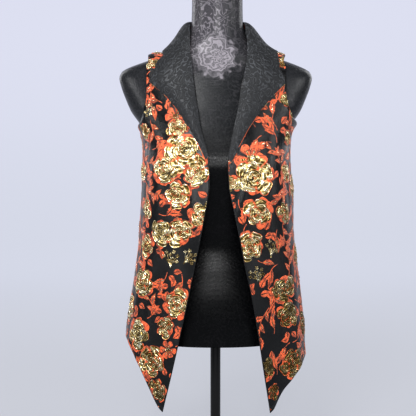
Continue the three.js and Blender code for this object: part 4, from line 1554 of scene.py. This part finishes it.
def make_motifs(relief):
    """Every motif once; the panels take copies of them."""
    for k, (squash, lean) in enumerate(ROSE_SHAPES):
        MOTIFS[f"rose{k}"] = rose_mesh(f"rose {k}", ROSE_RADIUS, relief, 11 + k, squash, lean, ROSE_FINE)
        MOTIFS[f"back{k}"] = rose_mesh(
            f"back rose {k}", ROSE_RADIUS, relief, 21 + k, squash, lean, BACK_ROSE_FINE
        )
    for k in range(2):
        MOTIFS[f"bloom{k}"] = blossom_mesh(f"bloom {k}", BLOOM_RADIUS, relief, 31 + k)
    MOTIFS["sprig0"] = sprig_mesh("sprig 0", 62, 0.16, SPRIG_LEAVES, 3)
    MOTIFS["sprig1"] = sprig_mesh("sprig 1", 44, -0.2, SPRIG_LEAVES[1:], 4)
    MOTIFS["sprig2"] = sprig_mesh("sprig 2", 30, 0.22, SPRIG_LEAVES[2:], 5)
    MOTIFS["leaf0"] = sprig_mesh("leaf 0", 12, 0.1, SPRIG_LEAVES[4:], 6)
    MOTIFS["petals0"] = petals_mesh("petals 0", 7)
    MOTIFS["spray0"] = spray_mesh("spray 0", 8)
    MOTIFS["spray1"] = spray_mesh("spray 1", 9)


# Where the flowers lie: angle from the front, height, motif, size share, turn. A bare patch has
# no motif and keeps the sprigs away.
FLOWERS_MINUS = [
    (-25, 690, "bloom0", 0.95, 20),
    (-26, 668, "rose1", 0.68, 200),
    (-21, 628, "rose0", 1.26, 30),
    (-37, 598, "rose2", 1.06, 120),
    (-12.5, 592, "rose1", 1.0, 290),
    (-26, 546, "rose0", 0.84, 250),
    (-8.5, 512, "rose2", 0.94, 70),
    (-23, 478, "rose1", 0.95, 160),
    (-38, 480, "rose0", 0.86, 10),
    (-55, 452, "rose2", 0.84, 220),
    (-58, 520, "rose1", 0.70, 90),
    (-62, 668, "rose0", 0.55, 0),
    (-58, 382, "rose0", 0.96, 300),
    (-24, 346, "rose2", 0.98, 45),
    (-30, 302, "rose1", 0.70, 130),
    (-53, 286, "rose2", 1.05, 200),
    (-38, 236, "rose0", 0.98, 80),
    (-33, 184, "rose1", 0.7, 260),
    (-74, 590, "rose1", 0.80, 40),
    (-76, 330, "rose0", 0.9, 10),
    (-30, 428, "spray0", 1.0, 0),
    (-17, 432, "spray1", 0.9, 40),
    (-45, 700, "spray0", 0.8, 300),
    (-12, 385, "bloom1", 0.6, 90),
    (-66, 250, "bloom0", 0.8, 0),
    (-15, 452, "bare", 1.0, 0),
    (-14, 400, "bare", 0.9, 0),
    (-23, 384, "sprig1", 0.95, 200),
    (-27, 262, "bloom1", 0.8, 0),
    (-25, 214, "petals0", 0.9, 20),
    (-13, 556, "bare", 0.7, 0),
    (-45, 420, "bare", 1.0, 0),
    (-62, 806, "petals0", 0.9, 30),
    (-54, 796, "leaf0", 0.9, 200),
    (-45, 790, "rose1", 0.52, 20),
    (-52, 801, "petals0", 0.8, 60),
    (-50, 742, "leaf0", 1.0, 160),
    (-78, 812, "rose2", 0.42, 90),
]
FLOWERS_PLUS = [
    (47, 726, "rose1", 0.55, 0),
    (37, 690, "leaf0", 1.0, 20),
    (44, 700, "bare", 0.8, 0),
    (22, 612, "bloom1", 1.4, 0),
    (24, 578, "rose0", 1.24, 200),
    (8.5, 570, "rose1", 0.62, 30),
    (27, 512, "rose2", 1.0, 320),
    (21, 453, "rose0", 0.94, 100),
    (52, 512, "rose1", 0.80, 240),
    (58, 590, "rose2", 0.72, 150),
    (48, 372, "rose1", 1.0, 10),
    (49, 318, "rose0", 0.86, 190),
    (27, 224, "rose2", 0.78, 60),
    (51, 230, "rose0", 1.0, 310),
    (33, 180, "rose1", 0.5, 120),
    (77, 430, "rose2", 0.85, 200),
    (78, 560, "rose0", 0.8, 80),
    (72, 290, "rose2", 0.9, 20),
    (38, 446, "spray0", 1.0, 10),
    (25, 398, "spray1", 0.95, 330),
    (42, 654, "sprig2", 0.9, 330),
    (17, 300, "bloom1", 0.6, 30),
    (15, 528, "sprig2", 0.9, 150),
    (17, 488, "leaf0", 1.2, 200),
    (20, 418, "bare", 1.0, 0),
    (34, 356, "sprig1", 0.95, 165),
    (23, 340, "bare", 0.7, 0),
    (29, 270, "bare", 1.1, 0),
    (40, 196, "bare", 0.9, 0),
    (38, 262, "bare", 0.9, 0),
    (36, 560, "bare", 0.8, 0),
    (20, 655, "bare", 0.8, 0),
    (31, 668, "bare", 0.8, 0),
    (50, 690, "bare", 0.7, 0),
    (60, 706, "rose0", 0.5, 50),
    (64, 650, "rose2", 0.5, 10),
    (40, 322, "bare", 0.7, 0),
    (41, 280, "bare", 0.8, 0),
    (47, 190, "bare", 0.8, 0),
    (62, 806, "leaf0", 1.0, 180),
    (55, 794, "rose0", 0.42, 30),
    (47, 791, "rose2", 0.5, 60),
    (54, 801, "petals0", 0.8, 300),
    (50, 742, "leaf0", 1.0, 200),
    (76, 810, "rose1", 0.55, 90),
]


def back_flowers():
    """The back takes the cloth's half-drop repeat: two columns of flowers, one shifted by half."""
    flowers = []
    repeat_height, column_angle = 176, 34
    unit = [
        # angle in the column, height in the repeat, motif, size share, turn
        (0, 0, "back0", 1.1, 30),
        (15, 40, "back1", 0.8, 200),
        (-9, 68, "bloom0", 0.9, 10),
        (4, 112, "back2", 1.0, 140),
        (17, 140, "spray0", 1.0, 0),
        (-11, 146, "back1", 0.72, 300),
    ]
    for column in range(-3, 4):
        shift = repeat_height / 2 if column % 2 else 0
        for row in range(-1, 5):
            for angle, up, motif, size, turn in unit:
                at = 180 + column * column_angle + angle
                height = 250 + row * repeat_height + up + shift
                flowers.append((angle_between(at, 0), height, motif, size, turn))
    return flowers


# The room that each motif needs round it, at full size.
SPRIG_ROOM = {"sprig0": 24, "sprig1": 19, "sprig2": 15.5, "leaf0": 9, "petals0": 10}
FLOWER_ROOM = {
    "sprig": 11,
    "rose": 27,
    "back": 27,
    "bloom": 20,
    "spray": 21,
    "bare": 14,
    "petals": 10,
    "leaf": 9,
}
ROOM_TO_LAY = 0.84
ROOM_TO_KEEP = 0.72


def scatter_sprigs(place, flowers, tries, seed):
    """Fills the room between the flowers with sprigs, the largest that fit first."""
    rng = random.Random(seed)
    taken = []
    for angle, height, motif, size, _ in flowers:
        room = next(value for key, value in FLOWER_ROOM.items() if motif.startswith(key))
        taken.append((on_vest(angle, height), room * size))
    sprigs = []
    for kind, room in sorted(SPRIG_ROOM.items(), key=lambda item: -item[1]):
        for _ in range(tries):
            angle, height = place(rng.uniform(-0.02, 1.02), rng.uniform(0.02, 1.01))
            turn, size = rng.uniform(0, 360), rng.uniform(0.85, 1.12)
            at = on_vest(angle, height)
            if all((at - other).length > room * size * ROOM_TO_LAY + far for other, far in taken):
                taken.append((at, room * size * ROOM_TO_KEEP))
                sprigs.append((angle, height, kind, size, turn))
    return sprigs


EDGE_WIDTH = 1.4
EDGE_SLACK = 0.5
HIDDEN_WITHIN = 14


def plain_edge(bm, width):
    """Draws a sheet's rim in, so that a narrow plain edge stays beyond it."""
    moves = []
    for v in bm.verts:
        if v.is_boundary:
            inner = [edge.other_vert(v) for edge in v.link_edges if not edge.is_boundary]
            for other in inner:
                step = other.co - v.co
                moves.append((v, v.co + step * min(0.9, width / step.length)))
    for v, place in moves:
        v.co = place


def embroider(name, cloth_mesh, placements, hidden_by=None):
    """One mesh of all the motifs on a panel, laid on its surface and cut off at its edges."""
    source = bmesh.new()
    source.from_mesh(cloth_mesh)
    plain_edge(source, EDGE_WIDTH * MM)
    tree = BVHTree.FromBMesh(source)
    source.free()
    bm = bmesh.new()
    outside = set()
    for angle, height, motif, size, turn in placements:
        if motif == "bare":
            continue
        middle = on_vest(angle, height, BROCADE_WALL) * MM
        beyond = on_vest(angle, height, BROCADE_WALL + 1) * MM
        normal = (beyond - middle).normalized()
        start = middle + normal * EDGE_SLACK * MM
        if hidden_by is not None and hidden_by.ray_cast(start, normal, HIDDEN_WITHIN * MM)[0]:
            continue
        level = Vector((-normal.y, normal.x, 0)).normalized()
        upright = normal.cross(level)
        spin = Matrix.Rotation(-turn * DEGREE, 2)
        first = len(bm.verts)
        bm.from_mesh(MOTIFS[motif])
        bm.verts.ensure_lookup_table()
        for v in bm.verts[first:]:
            flat = spin @ v.co.xy * size * MM
            target = middle + level * flat.x + upright * flat.y
            at, facing, _, _ = tree.find_nearest(target)
            off = target - at
            if (off - facing * off.dot(facing)).length > EDGE_SLACK * MM:
                outside.add(v)
            v.co = at + facing * (v.co.z * MM)
    gone = [face for face in bm.faces if all(v in outside for v in face.verts)]
    bmesh.ops.delete(bm, geom=gone, context="FACES")
    return mesh_of(bm, name)


# ---- pieces -------------------------------------------------------------------------------
FRONT_GRID = (52, 150)
BACK_GRID = (110, 130)
COLLAR_GRID = (26, 130)
STAND_GRID = (80, 10)
FORM_GRID = (120, 160)
FRONT_TRIES, FRONT_SEED = 900, 40
BACK_TRIES, BACK_SEED = 1400, 77
COLLAR_SPREAD = 1.3  # draws the collar's columns towards its roll edge
UNDER_ROUND, UPPER_ROUND, BAND_ROUND = 0.3 * MM, 0.35 * MM, 0.4 * MM


def panel_point(place):
    """The outside of a panel whose angles and heights place gives."""
    def at(s, t):
        angle, height = place(s, t)
        return on_vest(angle, height, BROCADE_WALL + creases(angle, height))

    return at


def collar_layer(side, start, proud, lift):
    """One layer of the collar, from a share of its width out to a little past its edge."""
    width = {}

    def at(h, v):
        key = round(v, 5)
        if key not in width:
            width[key] = (collar_point(side, v, 0, 0) - collar_point(side, v, 1, 0)).length
        end = 1 + proud / max(width[key], 6)
        point = collar_point(side, v, mix(start, end, h**COLLAR_SPREAD), lift)
        if v > 0.9999:
            point.x = side * CENTRE_BACK_GAP
        return point

    return at


SIDE_NAMES = {-1: "right", 1: "left"}
COLLAR_TREES = {}


def collar_tree(side):
    """A coarse copy of the collar's under side, to know what it hides."""
    if side not in COLLAR_TREES:
        mesh = sheet_mesh("collar shade", 8, 30, collar_layer(side, 0.1, 0, UNDER_LIFT))
        bm = bmesh.new()
        bm.from_mesh(mesh)
        COLLAR_TREES[side] = BVHTree.FromBMesh(bm)
        bm.free()
        bpy.data.meshes.remove(mesh)
    return COLLAR_TREES[side]


class VEST_OT_fronts(bpy.types.Operator):
    """Cuts and hangs the two pointed fronts with their woven flowers"""

    bl_idname = "vest.fronts"
    bl_label = "Fronts"

    def execute(self, context):
        wall = context.scene.vest_settings.wall
        cloth = [MATERIALS["satin"], MATERIALS["lining"], MATERIALS["edge"]]
        yarns = [MATERIALS["coral"], MATERIALS["gold"]]
        for side, flowers in ((-1, FLOWERS_MINUS), (1, FLOWERS_PLUS)):
            title = SIDE_NAMES[side]
            place = front_place(side)
            mesh = sheet_mesh(f"front {title}", *FRONT_GRID, panel_point(place))
            front = new_object(f"front_{title}_cloth", mesh, cloth)
            give_wall(front, wall)
            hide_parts(f"front_{title}")
            placements = flowers + scatter_sprigs(place, flowers, FRONT_TRIES, FRONT_SEED + side)
            flora = embroider(f"front {title} flowers", mesh, placements, collar_tree(side))
            threads = new_object(f"front_{title}_flowers", flora, yarns)
        return {"FINISHED"}


class VEST_OT_back(bpy.types.Operator):
    """Cuts and hangs the back with the same flowers in their repeat"""

    bl_idname = "vest.back"
    bl_label = "Back"

    def execute(self, context):
        place = back_place()
        mesh = sheet_mesh("back", *BACK_GRID, panel_point(place))
        cloth = [MATERIALS["satin"], MATERIALS["lining"], MATERIALS["edge"]]
        back = new_object("back_cloth", mesh, cloth)
        give_wall(back, context.scene.vest_settings.wall)
        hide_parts("back")
        flowers = back_flowers()
        placements = flowers + scatter_sprigs(place, flowers, BACK_TRIES, BACK_SEED)
        flora = embroider("back flowers", mesh, placements)
        threads = new_object("back_flowers", flora, [MATERIALS["coral"], MATERIALS["gold"]])
        return {"FINISHED"}


class VEST_OT_collar(bpy.types.Operator):
    """Folds the wide shawl collar, its brocade under side and its inner band"""

    bl_idname = "vest.collar"
    bl_label = "Collar"

    def execute(self, context):
        for side in (-1, 1):
            title = SIDE_NAMES[side]
            under_side = collar_layer(
                side, UNDER_COLLAR_START, UNDER_COLLAR_PROUD, UNDER_LIFT + COLLAR_WALL
            )
            under_mesh = sheet_mesh(f"under collar {title}", *COLLAR_GRID, under_side)
            brocade = [MATERIALS["under collar"]] * 3
            under = new_object(f"under_collar_{title}_cloth", under_mesh, brocade)
            give_wall(under, COLLAR_WALL * MM, UNDER_ROUND)
            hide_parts(f"under_collar_{title}")
            facing = collar_layer(side, 0, 0, UPPER_LIFT + COLLAR_WALL)
            upper_mesh = sheet_mesh(f"upper collar {title}", *COLLAR_GRID, facing)
            jacquard = [MATERIALS["jacquard"]] * 3
            upper = new_object(f"upper_collar_{title}_cloth", upper_mesh, jacquard)
            give_wall(upper, COLLAR_WALL * MM, UPPER_ROUND)
            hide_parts(f"upper_collar_{title}")
        self.inner_band()
        return {"FINISHED"}

    def inner_band(self):
        """The band inside the roll, from the neck seam up towards the fold."""
        def at(s, t):
            turn = mix(STAND_PATH[-1][0], STAND_PATH[0][0], s)
            _, seam, tall = row_at(STAND_PATH, turn)
            return on_form(180 - turn, seam + tall * (1 - t), STAND_LIFT + STAND_WALL)

        mesh = sheet_mesh("collar stand", *STAND_GRID, at)
        band = new_object("collar_stand_cloth", mesh, [MATERIALS["jacquard"]] * 3)
        give_wall(band, STAND_WALL * MM, BAND_ROUND)
        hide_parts("collar_stand")


def spun(bm, outline, steps=96):
    """Turns a half outline of (radius, height) round +z into a closed solid."""
    verts = [bm.verts.new((r, 0, z)) for r, z in outline]
    edges = [bm.edges.new(pair) for pair in zip(verts, verts[1:])]
    bmesh.ops.spin(
        bm,
        geom=verts + edges,
        cent=(0, 0, 0),
        axis=(0, 0, 1),
        angle=2 * math.pi,
        steps=steps,
        use_merge=True,
    )
    bmesh.ops.remove_doubles(bm, verts=bm.verts, dist=1e-6)
    bmesh.ops.recalc_face_normals(bm, faces=bm.faces)


def rounded(outline, radius, count=4):
    """An outline of (radius, height) with its inner corners rounded by short arcs."""
    points = [Vector(outline[0])]
    for before, here, after in zip(outline, outline[1:], outline[2:]):
        a, b, c = Vector(before), Vector(here), Vector(after)
        reach = min(radius, 0.45 * (a - b).length, 0.45 * (c - b).length)
        start, end = b + (a - b).normalized() * reach, b + (c - b).normalized() * reach
        for k in range(count + 1):
            t = k / count
            points.append(start * (1 - t) ** 2 + b * (2 * t * (1 - t)) + end * t * t)
    points.append(Vector(outline[-1]))
    return [tuple(p) for p in points]


class VEST_OT_form(bpy.types.Operator):
    """Covers the limbless form in printed black knit and caps its neck"""

    bl_idname = "vest.form"
    bl_label = "Dress form"

    def execute(self, context):
        def at(s, t):
            return on_form(360 * s - 180, mix(NECK_TOP, FORM_BOTTOM, t))

        mesh = sheet_mesh("form", *FORM_GRID, at, wrap=True)
        bm = bmesh.new()
        bm.from_mesh(mesh)
        rims = [edge for edge in bm.edges if edge.is_boundary]
        bmesh.ops.holes_fill(bm, edges=rims)
        bmesh.ops.recalc_face_normals(bm, faces=bm.faces)
        bm.to_mesh(mesh)
        bm.free()
        form = new_object("form_cover", mesh, [MATERIALS["cover"]])
        rim = form.modifiers.new("Soft rim", "BEVEL")
        rim.width = 2.2 * MM
        rim.segments = 3
        rim.limit_method = "ANGLE"
        rim.angle_limit = 60 * DEGREE
        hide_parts("dress_form")
        self.neck_cap()
        return {"FINISHED"}

    def neck_cap(self):
        """A low dome over the neck's oval top."""
        low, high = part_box("neck_cap")
        radius, deep = (high.x - low.x) / 2, (high.y - low.y) / 2
        tall = high.z - low.z
        bm = bmesh.new()
        outline = [(0, 0), (radius, 0), (radius, tall * 0.45), (radius * 0.86, tall * 0.8), (0, tall)]
        spun(bm, rounded(outline, 3 * MM))
        bmesh.ops.scale(bm, vec=(1, deep / radius, 1), verts=bm.verts)
        middle = ((low.x + high.x) / 2, (low.y + high.y) / 2, low.z)
        bmesh.ops.translate(bm, vec=middle, verts=bm.verts)
        cap = new_object("neck_cap_cover", mesh_of(bm, "neck cap"), [MATERIALS["cover"]])
        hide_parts("neck_cap")


POLE_PLAY = 0.3 * MM
SOCKET_FLANGE = 9 * MM


class VEST_OT_stand(bpy.types.Operator):
    """Turns the pole, its socket and the round base"""

    bl_idname = "vest.stand"
    bl_label = "Stand"

    def execute(self, context):
        pole_low, pole_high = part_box("pole")
        base_low, base_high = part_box("base")
        socket_low, socket_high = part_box("base_socket")
        radius, foot, top = pole_high.x, pole_low.z, pole_high.z
        pole = [(0, foot), (radius, foot), (radius, top), (0, top)]
        self.turn("pole_tube", "pole", pole, 0.8 * MM)
        thick = base_high.z - base_low.z
        wide = base_high.x
        base = [(0, 0), (wide, 0), (wide, thick * 0.7), (wide - 3 * MM, thick), (0, thick)]
        self.turn("base_plate", "base", base, 1.5 * MM)
        foot, top = socket_low.z, socket_high.z
        bore = radius + POLE_PLAY
        outer = socket_high.x
        neck = outer - SOCKET_FLANGE
        socket = [
            (bore, top - 1 * MM),
            (bore, foot),
            (outer, foot),
            (outer, foot + 4 * MM),
            (neck, foot + 9 * MM),
            (neck - 3 * MM, top),
            (bore, top),
            (bore, top - 1 * MM),
        ]
        self.turn("pole_socket", "base_socket", socket, 1.2 * MM)
        return {"FINISHED"}

    def turn(self, name, node, outline, radius):
        """A piece of the stand, turned from half its outline with rounded edges."""
        bm = bmesh.new()
        spun(bm, rounded(outline, radius))
        piece = new_object(name, mesh_of(bm, name), [MATERIALS["paint"]])
        sharp = piece.modifiers.new("Edges", "EDGE_SPLIT")
        sharp.split_angle = 50 * DEGREE
        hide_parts(node)


CAMERA_DISTANCE = 1.400
CAMERA_TILT = 4.0
CAMERA_X = -0.015
AIM_HEIGHT = 0.516
CAMERA_LENS = 61.34
VIEW_GAMMA = 0.85
VIEW_EXPOSURE = 0.11
ROOM_COLOUR = (0.80, 0.84, 0.95, 1)
ROOM_STRENGTH = 0.07
LIGHTS = [
    # name, place, aim, width, height, power
    ("Key", (-0.6, -1.6, 1.9), (0.0, 0.0, 0.64), 0.7, 0.7, 39),
    ("Fill", (1.35, -1.5, 1.15), (0.0, 0.0, 0.55), 0.6, 1.1, 14),
    ("Window", (-0.05, -1.75, 0.74), (0.0, 0.0, 0.6), 0.24, 0.2, 4.5),
    ("Glint", (0.03, -1.75, 1.03), (0.0, 0.0, 0.62), 0.18, 0.14, 10),
    ("Low fill", (-1.3, -1.5, 0.6), (0.0, 0.0, 0.42), 0.6, 0.8, 6),
    ("Top", (0.0, -0.4, 2.2), (0.0, 0.0, 0.6), 1.2, 0.6, 9),
    ("Side right", (1.5, -0.4, 1.0), (0.1, 0.0, 0.7), 0.35, 0.5, 7),
    ("Side left", (-1.5, -0.4, 1.0), (-0.1, 0.0, 0.7), 0.35, 0.5, 7),
    ("Rim right", (1.2, 1.0, 1.3), (0.1, 0.0, 0.6), 0.5, 1.2, 7),
    ("Rim left", (-1.2, 1.0, 1.3), (-0.1, 0.0, 0.6), 0.5, 1.2, 7),
]


class VEST_OT_stage(bpy.types.Operator):
    """Sets the camera, the pale floor and backdrop, and the soft lights"""

    bl_idname = "vest.stage"
    bl_label = "Stage"

    def execute(self, context):
        scene = context.scene
        data = bpy.data.cameras.new("Camera")
        data.lens = CAMERA_LENS
        data.sensor_width = 36
        data.clip_start = 0.05
        camera = bpy.data.objects.new("Camera", data)
        rise = AIM_HEIGHT + CAMERA_DISTANCE * math.tan(CAMERA_TILT * DEGREE)
        camera.location = (CAMERA_X, -CAMERA_DISTANCE, rise)
        camera.rotation_euler = ((90 - CAMERA_TILT) * DEGREE, 0, 0)
        scene.collection.objects.link(camera)
        scene.camera = camera
        self.backdrop(scene)
        for name, place, aim, width, height, power in LIGHTS:
            lamp = bpy.data.lights.new(name, "AREA")
            lamp.shape = "RECTANGLE"
            lamp.size, lamp.size_y, lamp.energy = width, height, power
            holder = bpy.data.objects.new(name, lamp)
            holder.location = place
            holder.rotation_euler = (Vector(aim) - Vector(place)).to_track_quat("-Z", "Y").to_euler()
            scene.collection.objects.link(holder)
        scene.view_settings.view_transform = "Standard"
        scene.view_settings.gamma = VIEW_GAMMA
        scene.view_settings.exposure = VIEW_EXPOSURE
        world = bpy.data.worlds.new("Soft room")
        world.use_nodes = True
        background = world.node_tree.nodes["Background"]
        background.inputs["Color"].default_value = ROOM_COLOUR
        background.inputs["Strength"].default_value = ROOM_STRENGTH
        scene.world = world
        return {"FINISHED"}

    def backdrop(self, scene):
        """A floor that sweeps up into a wall."""
        rows, floor_rows, sweep_rows = 40, 8, 22
        near, depth, sweep, tall, half = -4.5, 2.2, 0.9, 4.2, 5.0
        bm = bmesh.new()
        bmesh.ops.create_grid(bm, x_segments=1, y_segments=rows, size=1)
        for v in bm.verts:
            row = (v.co.y + 1) / 2 * rows
            x = v.co.x * half
            if row <= floor_rows:
                v.co = Vector((x, mix(near, depth, row / floor_rows), 0))
            elif row <= floor_rows + sweep_rows:
                turn = (row - floor_rows) / sweep_rows * math.pi / 2
                v.co = Vector((x, depth + sweep * math.sin(turn), sweep * (1 - math.cos(turn))))
            else:
                up = (row - floor_rows - sweep_rows) / (rows - floor_rows - sweep_rows)
                v.co = Vector((x, depth + sweep, mix(sweep, tall, up)))
        mesh = mesh_of(bm, "backdrop")
        backdrop = bpy.data.objects.new("backdrop", mesh)
        mesh.materials.append(backdrop_material())
        scene.collection.objects.link(backdrop)


class VEST_PT_panel(bpy.types.Panel):
    """Lists the pieces of the vest and its stand"""

    bl_idname = "VEST_PT_panel"
    bl_label = "Brocade vest"
    bl_space_type = "VIEW_3D"
    bl_region_type = "UI"
    bl_category = "Vest"

    def draw(self, context):
        scene = context.scene
        for group in (scene.vest_settings, scene.stand_settings):
            for key in group.__annotations__:
                self.layout.prop(group, key)
        for operator in OPERATORS:
            self.layout.operator(operator.bl_idname)


OPERATORS = (VEST_OT_stage, VEST_OT_form, VEST_OT_stand, VEST_OT_back, VEST_OT_fronts, VEST_OT_collar)
CLASSES = (VestSettings, StandSettings, *OPERATORS, VEST_PT_panel)


def register():
    for cls in CLASSES:
        bpy.utils.register_class(cls)
    bpy.types.Scene.vest_settings = bpy.props.PointerProperty(type=VestSettings)
    bpy.types.Scene.stand_settings = bpy.props.PointerProperty(type=StandSettings)


def unregister():
    del bpy.types.Scene.vest_settings
    del bpy.types.Scene.stand_settings
    for cls in reversed(CLASSES):
        bpy.utils.unregister_class(cls)


def main():
    register()
    make_materials()
    make_motifs(bpy.context.scene.vest_settings.relief / MM)
    bpy.ops.vest.stage()
    bpy.ops.vest.form()
    bpy.ops.vest.stand()
    bpy.ops.vest.back()
    bpy.ops.vest.fronts()
    bpy.ops.vest.collar()


if __name__ == "__main__":
    main()
